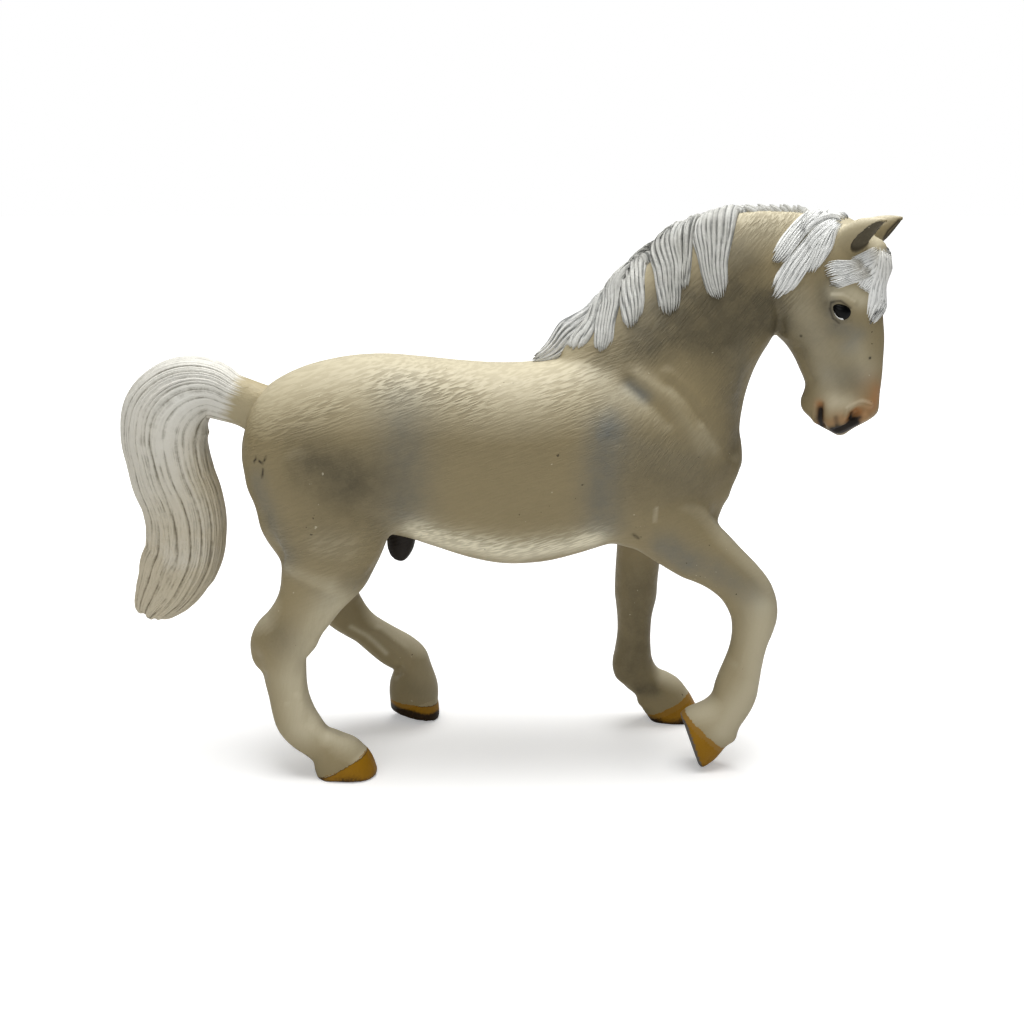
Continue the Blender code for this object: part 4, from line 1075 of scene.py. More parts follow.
@dataclass
class Body:
    """The vinyl skin: forms melted into one, sculpted, painted and parted at the seams."""

    plan: Build
    sight: Sight
    voxel: float = 0.41 * MM
    ring: int = 64
    # How far behind the throat's seam and above the poll the head's fine cells go
    fine_margin: float = 1.5 * MM
    fine_top: float = 12 * MM
    # How far behind the seam's low end the head may lie, and how far below it
    throat_back: float = 0.5 * MM
    throat_drop: float = 30 * MM
    # An ear's bowl: its middle, half length and half width in shares of the ear, how far
    # forward it lies, how soon it gets deep, and how many times shallower the far ear's is
    bowl: tuple = (0.49, 0.4, 0.35)
    bowl_forward: float = 0.9 * MM
    bowl_edge: float = 0.5 * MM
    far_bowl: float = 3.0
    # Where steep strokes start on the neck, end above the chest, and where legs start, each
    # with the length of its fade, and the fade of the combing behind the head
    neck_start: tuple = (14 * MM, 14 * MM)
    chest_top: tuple = (58 * MM, 14 * MM)
    leg_top: tuple = (38 * MM, 12 * MM)
    head_fade: float = 3 * MM
    # How much the whole coat is combed, and how wide the hoof paint's upper edge is
    combing: float = 0.21
    coronet_fade: float = 1.6 * MM
    # For how many rounds the melted skin is calmed, and how many more where muscles flow
    # into one another
    calm_rounds: int = 5
    soft_rounds: int = 40
    form: Form = None
    marks: dict = field(default_factory=dict)

    # The far hooves' greater darkness is painted shade.
    # How dark a hoof gets, how far its paint runs over the coronet and up from the sole in
    # mm, and how level that line is
    hoof_paint = {"right_hindleg": (0.75, 0.0, 0.05, 0.0), "left_hindleg": (1.9, 0.5, 0.05, 0.8),
                  "right_foreleg": (0.3, 1.0, 0.5, 0.0), "left_foreleg": (1.0, 1.2, 0.05, 0.0)}

    def melt(self) -> None:
        """Melt trunk, neck, head, legs, hooves and ears into one fine skin."""
        forms = [self.trunk_form(), self.neck_form(), self.head_form(),
                 *map(self.leg_form, LEGS), *map(self.hoof_form, LEGS),
                 *map(self.ear_form, (-1, 1)), *self.mass_forms()]
        item = add_object("raw_skin", form_mesh("raw_skin", join_forms(forms)))
        step = item.modifiers.new("melt", "REMESH")
        step.mode = "VOXEL"
        step.voxel_size = self.voxel
        self.form = self.refine_head(read_form(item))
        bpy.data.objects.remove(item)
        self.form.calmed(self.calm_rounds)

    def refine_head(self, form: Form) -> Form:
        """Halve the cells of the head, where the face needs finer detail.

        Args:
            form: the melted skin.

        Returns:
            The same skin with smaller triangles there.
        """
        mesh = form_mesh("fine_head", form)
        work = bmesh.new()
        work.from_mesh(mesh)
        local = self.plan.head_local(form.points)
        fine = self.in_head(form.points, self.fine_margin) & (local[:, 2] < self.fine_top)
        work.edges.ensure_lookup_table()
        edges = [edge for edge in work.edges
                 if fine[edge.verts[0].index] and fine[edge.verts[1].index]]
        bmesh.ops.subdivide_edges(work, edges=edges, cuts=1, use_grid_fill=True)
        bmesh.ops.triangulate(work, faces=work.faces)
        work.to_mesh(mesh)
        work.free()
        return mesh_form(mesh)

    def past_throat(self, points: Array) -> Array:
        """How far each point lies ahead of the seam behind the head, in metres.

        Args:
            points: the points.

        Returns:
            One distance for each.
        """
        low, high = (self.plan.neck_place(*row) for row in self.plan.throat_seam)
        run = unit(high - low)
        ahead = np.array([run[2], 0, -run[0]])
        return (points - low) @ ahead

    def in_head(self, points: Array, margin: float = 0.0) -> Array:
        """Which points lie ahead of the seam behind the head, and not on the chest below it.

        Args:
            points: the points.
            margin: how far behind the seam still counts.

        Returns:
            True for each point in the head.
        """
        low = self.plan.neck_place(*self.plan.throat_seam[0])
        beyond = (points[:, 0] > low[0] - self.throat_back) | (points[:, 2] > low[2])
        above = points[:, 2] > low[2] - self.throat_drop
        return (self.past_throat(points) > -margin) & beyond & above

    def trunk_form(self) -> Form:
        """The barrel from the rump to the chest.

        Returns:
            The closed form.
        """
        plan = self.plan
        rows = smooth_rows(plan.trunk_rows)
        ups = np.tile([0.0, 0.0, 1.0], (len(rows), 1))
        grid = sections(plan.trunk_place(rows[:, 0], 0.0), ups, rows[:, 1] * plan.trunk_depth,
                        rows[:, 2] * plan.trunk_depth, rows[:, 3] * plan.trunk_width / 2, 2.2,
                        -0.05, self.ring)
        return tube(grid)

    def neck_form(self) -> Form:
        """The arched neck, narrower at the crest than at the throat.

        Returns:
            The closed form.
        """
        plan = self.plan
        rows = smooth_rows(plan.neck_rows)
        turn = np.radians(rows[:, 4])
        ups = np.stack([np.cos(turn), 0 * turn, np.sin(turn)], -1)
        half = rows[:, 2] * plan.neck_depth / 2
        return tube(sections(plan.neck_place(rows[:, 0], rows[:, 1]), ups, half, half,
                             rows[:, 3] * plan.neck_width / 2, 2.0, -0.22, self.ring))

    def head_form(self) -> Form:
        """The skull and muzzle as level slices from the poll to the lips.

        Returns:
            The closed form.
        """
        plan = self.plan
        rows = smooth_rows(plan.head_rows)
        middle = (rows[:, 1] + rows[:, 2]) / 2 * plan.head_depth
        half = (rows[:, 2] - rows[:, 1]) / 2 * plan.head_depth
        centres = np.stack([middle, 0 * middle, -rows[:, 0] * plan.head_length], -1)
        ups = np.tile([1.0, 0.0, 0.0], (len(rows), 1))
        grid = sections(centres, ups, half, half, rows[:, 3] * plan.head_width / 2, 2.3,
                        rows[:, 4], self.ring)
        return tube(plan.head_place(grid))

    def ear_frame(self, side: int) -> tuple[Array, Array]:
        """An ear's foot and its direction, in the head's own frame.

        Args:
            side: -1 on the right, 1 on the left.

        Returns:
            The foot and the direction.
        """
        plan = self.plan
        forward, outwards, upwards = plan.ear_lean
        ahead, down = plan.ear_foot[side]
        foot = np.array([ahead * plan.head_depth, side * plan.ear_spread / 2,
                         -down * plan.head_length])
        return foot, unit(np.array([forward, side * outwards, upwards]))

    def ear_form(self, side: int) -> Form:
        """A pointed ear leaning forward from beside the poll.

        Args:
            side: -1 on the right, 1 on the left.

        Returns:
            The closed form.
        """
        plan = self.plan
        foot, lean = self.ear_frame(side)
        rows = smooth_rows(plan.ear_rows)
        centres = foot + rows[:, :1] * plan.ear_length * lean
        ups = np.tile([-lean[2], 0.0, lean[0]], (len(rows), 1))
        half = rows[:, 1] * plan.ear_width / 2
        grid = sections(centres, ups, half, half, rows[:, 1] * plan.ear_thickness / 2, 2.0)
        return tube(plan.head_place(grid))

    def leg_form(self, name: str) -> Form:
        """One leg from inside the trunk down to inside the hoof.

        Args:
            name: the leg.

        Returns:
            The closed form.
        """
        plan = self.plan
        depth, width = plan.leg_size(name)[3:5]
        rows = np.array(plan.leg_rows[name])
        centres = plan.leg_place(name, rows[:, 0], rows[:, 1])
        return limb(np.column_stack([centres, rows[:, 2] * depth / 2, rows[:, 3] * width / 2]),
                    2.2, self.ring)

    def hoof_form(self, name: str) -> Form:
        """A hoof from its flat sole up to the sloping coronet.

        The outline is a cosine forward and a sine across, both a little blunted, and the
        sine narrows towards the heel.

        Args:
            name: the leg.

        Returns:
            The closed form.
        """
        plan = self.plan
        sole, toe, up, coronet, run, _ = plan.hoof_frame(name)
        centres = np.array([sole, sole + up * plan.hoof_edge,
                            (sole + coronet) / 2 + up * plan.hoof_edge, coronet])
        ahead = np.array([toe, toe, unit(toe + run), run])
        share = np.array(plan.hoof_rings)[:, None, None]
        turn = 2 * np.pi * np.arange(self.ring) / self.ring
        reach = signed_power(np.cos(turn), 0.92)
        across = signed_power(np.sin(turn), 0.92) * (1 - 0.07 * (1 - np.cos(turn)))
        grid = centres[:, None] + ahead[:, None] * reach[None, :, None] * share \
            * plan.hoof_length / 2
        grid = grid + share * across[None, :, None] * plan.hoof_width / 2 * np.array([0, 1, 0])
        return tube(grid)

    def mass_forms(self) -> list[Form]:
        """Haunches, shoulders, breast, cheeks and sheath.

        Returns:
            Their closed forms.
        """
        plan = self.plan
        sizes = np.array([plan.trunk_length, plan.trunk_width, plan.trunk_depth])
        forms = []
        for side in (-1, 1):
            for place, across, radii, tilt in plan.masses:
                forms.append(ball(plan.trunk_place(*place, side * across),
                                  np.array(radii) * sizes, tilt))
            (forward, across, down), radii = plan.cheek
            reach = np.array([plan.head_depth, plan.head_width, plan.head_length])
            forms.append(ball(plan.head_share(forward, side * across, down),
                              np.array(radii) * reach))
        length, width, drop, tilt = plan.sheath
        radii = np.array([length, width, drop]) / 2
        forms.append(ball(plan.trunk_place(*plan.sheath_place), radii, tilt))
        return forms

    def hollow_ears(self) -> None:
        """Press a bowl into the outer face of each ear.

        The push is the hollow's depth times the root of one minus the squared distance from
        the bowl's middle, in its own half lengths along and across the ear, so it is round.
        """
        plan = self.plan
        local = plan.head_local(self.form.points)
        mask = np.zeros(len(local))
        middle, length, width = self.bowl
        for side, shallower, painted in ((-1, 1.0, 1.0), (1, self.far_bowl, 0.6)):
            foot, lean = self.ear_frame(side)
            out = unit(np.array([1.2 * lean[2], side, -1.2 * lean[0]]))
            rest = local - foot - middle * plan.ear_length * lean - [self.bowl_forward, 0, 0]
            along = rest @ lean / (length * plan.ear_length)
            wide = rest @ np.cross(lean, out) / (width * plan.ear_width)
            level = np.sqrt(held(1 - along ** 2 - wide ** 2)) * held(rest @ out / self.bowl_edge)
            push = level * (plan.ear_hollow / shallower)
            self.form.points -= plan.head_turned() @ out * push[:, None]
            mask = np.maximum(mask, held(level * 1.6) * painted)
        self.marks["ear"] = mask

    def spread(self, marks: tuple[Mark, ...], tree: BVHTree) -> Array:
        """Sum of the bell curves around each mark's line, near side and far side.

        Args:
            marks: the marks, placed by pixels.
            tree: a search tree over the skin.

        Returns:
            One value for each point of the skin.
        """
        total = np.zeros(len(self.form.points))
        for mark in marks:
            line = self.sight.find(tree, mark.line)
            if not len(line):
                continue
            width = mark.width * MM
            sides = [line]
            if mark.mirror is not NONE:
                sides.append(self.plan.mirrored(line, mark.mirror))
            for side in sides:
                gap = distance_to_line(self.form.points, side, 3 * width)
                total += mark.amount * np.exp(-(gap / width) ** 2)
        return total

    def sculpt(self) -> None:
        """Soften the joins, push the skin along the carved marks, then open the ears."""
        tree = search_tree(self.form)
        self.form.calmed(self.soft_rounds, held(self.spread(SOFTENED, tree)))
        push = self.spread(RELIEF, search_tree(self.form)) * MM
        self.form.points = self.form.points + self.form.normals * push[:, None]
        self.hollow_ears()
        self.form.points[:, 2] = np.maximum(self.form.points[:, 2], 0.0)

    def paint(self) -> None:
        """Give every point its share of each paint."""
        tree = search_tree(self.form)
        for name, marks in PAINTS.items():
            self.marks[name] = held(self.spread(marks, tree))
        points, marks, ear = self.form.points, self.marks, self.marks.pop("ear")
        # Upward faces take extra pale paint: painted highlight from the top light.
        sunlit = held(self.form.normals[:, 2] - 0.25)
        marks["pale"] = held(marks["pale"] + 0.85 * sunlit) * (1 - ear)
        marks["olive"] = np.maximum(marks["olive"], ear)
        marks["brown"] = np.maximum(marks["brown"], 0.35 * ear + 2 * ear * (1 - ear))
        low = held((self.chest_top[0] - points[:, 2]) / self.chest_top[1])
        steep = held((points[:, 0] - self.neck_start[0]) / self.neck_start[1]) * (1 - low)
        leg = held((self.leg_top[0] - points[:, 2]) / self.leg_top[1])
        marks["stroke_mix"] = np.stack([held(1 - steep - leg), steep, leg], -1)
        ahead = held(self.past_throat(points) / self.head_fade)
        marks["combed"] = held(self.combing + marks["combed"]) \
            * (1 - 0.7 * ahead) * (1 - 0.75 * leg)
        self.paint_hooves()

    def paint_hooves(self) -> None:
        """Marks for the hoof paint, its dark lower edge and the sole."""
        points, plan = self.form.points, self.plan
        hoof, shade, sole_mask = np.zeros((3, len(points)))
        for name in LEGS:
            sole, _, up, coronet, _, normal = plan.hoof_frame(name)
            near = np.linalg.norm(points - (sole + coronet) / 2, axis=1) < plan.hoof_length
            dark, above, edge, level_line = self.hoof_paint[name]
            line = unit(normal * (1 - level_line) + up * level_line)
            over = (points - coronet) @ line - above * MM
            hoof = np.maximum(hoof, held(0.5 - over / self.coronet_fade) * near)
            rise = (points - sole) @ up
            fall = held(1 - rise / plan.hoof_height) * near
            shade = np.maximum(shade, fall * dark * (hoof > 0.3))
            sole_mask = np.maximum(sole_mask, (rise < edge * MM) * near * 1.0)
        self.marks.update(hoof=hoof, sole_shade=shade, sole=sole_mask)

    def labels(self) -> tuple[Array, list[str]]:
        """The node that each triangle belongs to.

        A leg is what lies in its seam's block, a hoof what lies under its coronet, and the
        head what lies ahead of the throat's seam.

        Returns:
            A number for each triangle, and the names that the numbers stand for.
        """
        plan, form = self.plan, self.form
        middle = form.points[form.faces].mean(1)
        names = ["trunk", "head", *LEGS, *(leg.replace("leg", "_hoof") for leg in LEGS)]
        label = np.zeros(len(middle), dtype=int)
        label[self.in_head(middle)] = 1
        for index, name in enumerate(LEGS):
            swing, height, slope, behind, before = plan.seam_rows[name]
            reach, depth = plan.leg_size(name)[2:4]
            seam = plan.leg_place(name, swing, height)
            run, out = pitched(slope)
            rest = middle - seam
            below = -(rest @ out)
            grow = held(below / plan.leg_sizes["hind"][1]) * reach
            inside = (below > 0) & (rest @ run > -depth * behind - grow)
            inside &= rest @ run < depth * before + grow
            inside &= middle[:, 1] * np.sign(seam[1]) > abs(seam[1]) * plan.seam_inset
            label[inside & (label == 0)] = 2 + index
            sole, _, _, coronet, _, normal = plan.hoof_frame(name)
            under = ((middle - coronet) @ normal < 0) & (label == 2 + index)
            under &= np.linalg.norm(middle - (sole + coronet) / 2, axis=1) < plan.hoof_length
            label[under] = 6 + index
        return label, names

    def dress(self, materials: dict[str, Material]) -> None:
        """Part the skin into closed pieces, one for each CAD node.

        Args:
            materials: the coat and the hoof finish by slot.
        """
        label, names = self.labels()
        normals = self.form.normals
        for index, name in enumerate(names):
            faces = self.form.faces[label == index]
            used, packed = np.unique(faces, return_inverse=True)
            part = Form(self.form.points[used], packed.reshape(-1, 3))
            slot = "ochre_hoof" if "hoof" in name else "beige_vinyl"
            marks = {key: values[used] for key, values in self.marks.items()}
            place_piece(write_piece(name + "_skin", part, materials[slot], marks, normals[used],
                                    closed=False), slot, name)


def place_piece(piece: Object, slot: str, node: str) -> None:
    """Hang a piece on the root, hide the CAD node that it stands for and log its finish's slot.

    Args:
        piece: the piece.
        slot: the finish's slot.
        node: the CAD node.
    """
    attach(piece, "root")
    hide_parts(node)
    count = sum(len(face.vertices) - 2 for face in piece.data.polygons)
    LOG.info("%s: %d triangles, slot %s", piece.name, count, slot)


# Where muscles flow into one another
SOFTENED = (
    Mark(((744, 395), (742, 440), (742, 470), (725, 500)), 4.0, 1.2),
    Mark(((690, 430), (700, 470), (715, 520)), 5.0, 1.0),
    Mark(((600, 545), (640, 540), (660, 560)), 4.0, 1.0),
    Mark(((250, 480), (258, 510), (270, 540), (281, 570)), 5.0, 1.6),
    Mark(((300, 560), (350, 560), (400, 530)), 4.5, 1.0),
    Mark(((600, 380), (650, 360), (700, 380)), 6.0, 0.8),
)

# Carving: soft ridges and grooves in mm, read off the photograph
RELIEF = (
    Mark(((636, 377), (653, 389), (669, 400), (681, 415), (692, 431), (701, 449)), 1.5, 0.36),
    Mark(((628, 384), (642, 395), (656, 406), (670, 420)), 1.5, -0.34),
    Mark(((668, 374), (687, 390), (705, 408)), 1.0, 0.2),
    Mark(((672, 384), (690, 401), (704, 421), (711, 433), (719, 444)), 0.9, -0.28),
    Mark(((702, 430), (714, 446), (725, 463)), 1.2, 0.3),
    Mark(((617, 450), (617, 490), (615, 535)), 1.0, 0.18),
    Mark(((600, 470), (600, 530)), 2.2, -0.22),
    Mark(((630, 420), (634, 470), (640, 530)), 4.5, 0.28),
    Mark(((259, 520), (265, 535), (274, 550)), 3.0, -1.4),
    Mark(((250, 490),), 2.6, 0.35),
    Mark(((359, 588), (366, 580), (371, 573)), 1.8, -0.4, NONE),
    Mark(((734, 468), (730, 480), (725, 493)), 2.0, 0.8),
    Mark(((430, 541), (470, 554), (510, 559)), 3.0, 0.5),
    Mark(((875, 250), (879, 264), (881, 278)), 2.4, 1.0, HEAD),
    Mark(((716, 514),), 1.8, -0.6),
    Mark(((402, 558),), 1.0, 0.35, NONE),
    Mark(((313, 645), (308, 656)), 1.8, 0.6, NONE),
    Mark(((255, 660), (259, 672)), 2.0, -0.9, NONE),
    Mark(((278, 733),), 1.5, 0.4, NONE),
    Mark(((332, 727), (342, 731)), 1.7, -0.6, NONE),
    Mark(((399, 669), (396, 674)), 0.9, -0.7, NONE),
    Mark(((704, 699), (698, 702)), 1.2, -0.45, NONE),
    Mark(((732, 738), (728, 746)), 1.4, 0.6, NONE),
    Mark(((642, 701), (642, 708)), 1.4, 0.8, NONE),
    Mark(((616, 666), (618, 676)), 1.5, 0.4, NONE),
    Mark(((747, 378), (742, 396)), 2.4, -0.5),
    Mark(((285, 566), (305, 577), (330, 586), (350, 588)), 1.2, 0.28, NONE),
    Mark(((290, 575), (310, 587), (332, 596)), 1.1, -0.35, NONE),
    Mark(((340, 600), (310, 640), (296, 690)), 1.0, -0.25, NONE),
    Mark(((320, 655), (300, 680), (302, 715)), 1.0, 0.28, NONE),
    Mark(((268, 648), (280, 668), (286, 700)), 0.8, -0.28, NONE),
    Mark(((380, 630), (405, 650), (412, 668)), 0.8, 0.3, NONE),
    Mark(((374, 636), (398, 656), (404, 672)), 0.7, -0.25, NONE),
    Mark(((630, 600), (632, 640), (630, 668)), 0.8, 0.25, NONE),
    Mark(((640, 610), (642, 650), (640, 672)), 0.7, -0.25, NONE),
    Mark(((745, 600), (750, 630), (742, 660), (735, 690)), 0.9, 0.25, NONE),
    Mark(((737, 610), (741, 640), (736, 660)), 1.0, -0.18, NONE),
    Mark(((496, 562), (540, 560), (585, 550)), 0.35, 0.18, NONE),
    Mark(((840, 310),), 2.6, -0.6, HEAD),
    Mark(((829, 303), (833, 297), (842, 297), (853, 304)), 0.65, 0.5, HEAD),
    Mark(((830, 310), (833, 319), (841, 324), (850, 322)), 0.4, 0.2, HEAD),
    Mark(((827, 305), (829, 316), (836, 325)), 0.5, -0.2, HEAD),
    Mark(((846, 417), (848, 410), (854, 406), (862, 403), (870, 405)), 0.55, 0.55, HEAD),
    Mark(((851, 419), (853, 414), (858, 411)), 0.95, -1.3, HEAD),
    Mark(((864, 412), (866, 417)), 0.9, 0.35, HEAD),
    Mark(((820, 405), (820, 415), (823, 426)), 0.6, -0.7, HEAD),
    Mark(((816, 408), (816, 420)), 0.8, 0.25, HEAD),
    Mark(((829, 408), (831, 420)), 0.9, 0.25, HEAD),
    Mark(((836, 430), (844, 427), (854, 422)), 0.45, -0.4, HEAD),
    Mark(((805, 408), (811, 413), (818, 420)), 1.3, 0.35, HEAD),
    Mark(((800, 350), (806, 368), (812, 380)), 1.0, -0.35, HEAD),
    Mark(((852, 335), (858, 355), (860, 380)), 1.2, -0.25, HEAD),
    Mark(((825, 345), (840, 372), (850, 395)), 0.9, 0.24, HEAD),
    Mark(((775, 300), (779, 320), (783, 333)), 0.9, -0.45),
)

# Paints: the share of each colour around the listed lines
PAINTS = {
    "grey": (
        Mark(((606, 428), (602, 480), (603, 528)), 3.9, 0.58),
        Mark(((618, 400), (608, 428)), 3.6, 0.2),
        Mark(((404, 400), (404, 450), (404, 515)), 5.0, 0.52),
        Mark(((257, 485), (270, 520), (286, 555)), 3.2, 0.45),
        Mark(((666, 548), (686, 562)), 3.0, 0.6, NONE),
        Mark(((715, 572), (760, 596)), 3.2, 0.4, NONE),
        Mark(((645, 450), (690, 470)), 5.0, 0.25),
        Mark(((838, 325), (855, 335), (850, 345)), 2.0, 0.55, HEAD),
        Mark(((829, 300), (831, 312)), 1.2, 0.45, HEAD),
        Mark(((830, 376), (862, 378)), 2.4, 0.4, HEAD),
        Mark(((735, 330), (742, 370), (735, 400)), 3.0, 0.35),
        Mark(((630, 386), (643, 397)), 1.5, 0.7),
        Mark(((232, 415), (240, 428)), 1.6, 0.45),
    ),
    "olive": (
        # Olive on the neck just below the mane: partly the neck's own paint, partly painted shade
        # under the hair.
        Mark(((655, 320), (690, 312), (720, 320)), 5.5, 1.25),
        Mark(((745, 240), (765, 232)), 3.5, 0.45),
        Mark(((700, 350), (730, 380), (735, 430)), 5.5, 0.4),
        # Olive below the last mane locks: partly own paint, partly painted shade under the hair.
        Mark(((735, 280), (765, 320)), 4.5, 0.65),
        Mark(((735, 250), (752, 262)), 2.6, 0.35),
        Mark(((600, 370), (640, 350)), 4.5, 0.5),
        Mark(((312, 462), (342, 474)), 5.6, 0.85),
        Mark(((330, 530), (385, 480)), 6.0, 0.35),
        Mark(((400, 410), (450, 430), (540, 430)), 6.0, 0.3),
        # Darker olive down the far foreleg: painted shade on the leg that stands in the body's
        # shadow.
        Mark(((640, 590), (640, 640), (630, 670)), 6.0, 0.65, NONE),
        Mark(((730, 470), (735, 440)), 3.0, 0.4),
        Mark(((650, 480), (700, 490)), 7.0, 0.42),
        Mark(((330, 600), (350, 585), (370, 575)), 2.6, 0.4, NONE),
        Mark(((268, 625), (285, 640)), 3.4, 0.45, NONE),
        Mark(((640, 690), (654, 690)), 1.4, 0.6, NONE),
        Mark(((410, 685), (425, 695)), 2.4, 0.3, NONE),
        Mark(((785, 310), (800, 345)), 4.0, 0.45, HEAD),
        Mark(((815, 350), (840, 380)), 6.0, 0.28, HEAD),
        # Olive just below the forelock and the poll lock: partly own paint, partly painted shade
        # under the hair.
        Mark(((826, 282), (826, 300)), 1.8, 0.6, HEAD),
        Mark(((768, 300), (778, 325)), 1.8, 0.9),
        Mark(((815, 300), (825, 330)), 3.0, 0.25, HEAD),
    ),
    "pale": (
        Mark(((420, 533), (450, 542), (520, 552), (590, 541)), 3.2, 0.95),
        Mark(((285, 566), (305, 577), (330, 586)), 1.4, 0.18, NONE),
        Mark(((320, 545), (345, 548)), 2.6, 0.12),
        Mark(((335, 605), (298, 680), (305, 725)), 4.2, 0.5, NONE),
        Mark(((351, 627), (366, 635), (375, 642), (386, 653)), 0.5, 0.4, NONE),
        Mark(((380, 620), (425, 655), (434, 690)), 3.0, 0.15, NONE),
        Mark(((765, 610), (755, 680), (725, 730)), 3.6, 0.45, NONE),
        Mark(((800, 300), (820, 345), (830, 400)), 3.0, 0.22, HEAD),
        Mark(((855, 350), (868, 370)), 2.6, 0.22, HEAD),
        Mark(((835, 402), (850, 404)), 1.8, 0.35, HEAD),
        Mark(((836, 291), (852, 293), (862, 300)), 1.6, 0.45, HEAD),
        Mark(((826, 240), (850, 228), (872, 222)), 2.2, 0.25, HEAD),
        Mark(((640, 378), (672, 399), (693, 430), (702, 449)), 1.2, 0.1),
        Mark(((704, 432), (715, 448)), 1.2, 0.15),
        Mark(((656, 508), (655, 521)), 0.2, 0.55, NONE),
        Mark(((879, 254), (884, 270), (878, 290)), 2.0, 0.55, HEAD),
    ),
    "combed": (
        Mark(((385, 385), (430, 385), (470, 400)), 4.0, 0.7),
        Mark(((560, 390), (600, 420), (640, 470)), 5.0, 0.4),
        Mark(((600, 360), (650, 340), (690, 300)), 3.6, 0.7),
        Mark(((650, 440), (700, 480)), 4.0, 0.3),
        Mark(((430, 530), (520, 545), (600, 530)), 3.0, 0.5),
        Mark(((255, 440), (290, 430), (330, 410)), 3.0, 0.6),
        Mark(((290, 540), (350, 550), (390, 520)), 4.0, 0.4, NONE),
        Mark(((740, 222), (775, 222), (790, 218)), 2.6, 0.5),
        Mark(((760, 300), (730, 400)), 4.0, 0.3),
        Mark(((790, 300), (810, 290)), 3.0, 0.5, HEAD),
    ),
    "orange": (
        Mark(((852, 417), (856, 412)), 1.1, 1.0, HEAD),
        Mark(((866, 415), (874, 406), (877, 392)), 1.5, 0.48, HEAD),
        Mark(((875, 400), (874, 386)), 2.6, 0.32, HEAD),
        Mark(((820, 404), (821, 424)), 0.9, 0.9, HEAD),
        Mark(((830, 424), (840, 420), (855, 421)), 1.2, 0.5, HEAD),
        Mark(((828, 412), (850, 416), (864, 408)), 3.0, 0.14, HEAD),
    ),
    "brown": (
        Mark(((835, 430), (841, 430), (848, 428), (854, 424)), 1.05, 1.9, HEAD),
        Mark(((850, 417), (851, 413)), 0.45, 0.8, HEAD),
        Mark(((855, 419), (860, 417)), 0.4, 0.7, HEAD),
        Mark(((821, 410), (820, 418), (822, 427)), 0.75, 1.2, HEAD),
        Mark(((836, 418), (837, 425)), 0.5, 0.5, HEAD),
        Mark(((899, 220), (894, 225), (888, 231), (884, 238)), 0.25, 0.9, NONE),
        Mark(((394, 546), (402, 557), (410, 546)), 2.4, 2.8, NONE),
        Mark(((831, 302), (830, 309), (833, 318), (839, 323)), 0.2, 0.7, HEAD),
        Mark(((833, 302), (841, 301), (850, 308)), 0.25, 0.8, HEAD),
        Mark(((256, 458), (254, 462)), 0.18, 1.2, NONE),
        Mark(((259, 461), (263, 463)), 0.18, 1.2, NONE),
        Mark(((266, 457), (264, 461)), 0.18, 1.0, NONE),
        Mark(((263, 470), (262, 477)), 0.18, 1.2, NONE),
        Mark(((801, 336),), 0.22, 1.0, NONE),
        Mark(((870, 358),), 0.22, 1.2, NONE),
        Mark(((634, 535), (638, 538)), 0.3, 0.7, NONE),
    ),
}


@dataclass(frozen=True)
class Lock:
    """A flat lock of hair by pixels: both edges from root to tip, and how it stands up.

    The rise is in mm, the strands are counted across it, grey is how much of the shade it
    takes, lift raises it over its neighbours in mm, and over says that its root runs across
    the crest to the other side. Fray is how unevenly its strands end, and worn how much the
    root fades into the coat. Crest is how far it stands up where it crosses the crest, in mm,
    and a free lock hangs in the middle plane behind the crest.
    """

    left: Pixels
    right: Pixels
    rise: float
    strands: int
    grey: float = 0.0
    lift: float = 0.0
    over: bool = False
    fray: float = 0.2
    worn: float = 0.0
    crest: float = 0.0
    free: bool = False


# The wisp over the withers, which hangs behind the crest and shows on both sides
WISP = Lock(((601, 287), (586, 306), (572, 315), (559, 323), (545, 344), (526, 361)),
            ((614, 302), (601, 326), (588, 341), (574, 353), (557, 360), (531, 364)),
            0.9, 5, -0.6, free=True)
# The mane on the near side, from the withers forward
NEAR_LOCKS = (
    WISP,
    Lock(((598, 298), (584, 312), (573, 326), (567, 340), (568, 350)),
         ((609, 303), (601, 315), (595, 330), (588, 342), (578, 353)),
         0.9, 4, over=True, crest=1.4),
    Lock(((613, 281), (603, 297), (599, 312), (595, 330), (594, 345), (597, 354)),
         ((631, 266), (624, 290), (619, 308), (615, 325), (613, 340), (605, 354)),
         1.0, 6, lift=0.1, over=True, crest=2.0),
    Lock(((633, 262), (625, 280), (620, 300), (621, 313), (624, 325), (628, 332)),
         ((656, 243), (650, 258), (645, 275), (645, 295), (643, 311), (637, 327)),
         1.0, 6, over=True, crest=2.1),
    Lock(((677, 226), (676, 250), (677, 268), (679, 283), (682, 292)),
         ((699, 216), (694, 240), (692, 260), (690, 280), (687, 290)),
         0.9, 4, 0.1, over=True, crest=1.7),
    Lock(((655, 240), (652, 257), (654, 275), (656, 292), (659, 308), (663, 318)),
         ((684, 222), (683, 245), (684, 265), (682, 285), (680, 303), (675, 317)),
         1.1, 7, lift=0.15, over=True, crest=2.0),
    Lock(((691, 218), (692, 238), (697, 257), (702, 278), (708, 294), (716, 304)),
         ((739, 203), (737, 220), (732, 243), (728, 262), (728, 282), (727, 300)),
         1.1, 9, over=True, crest=1.1),
)
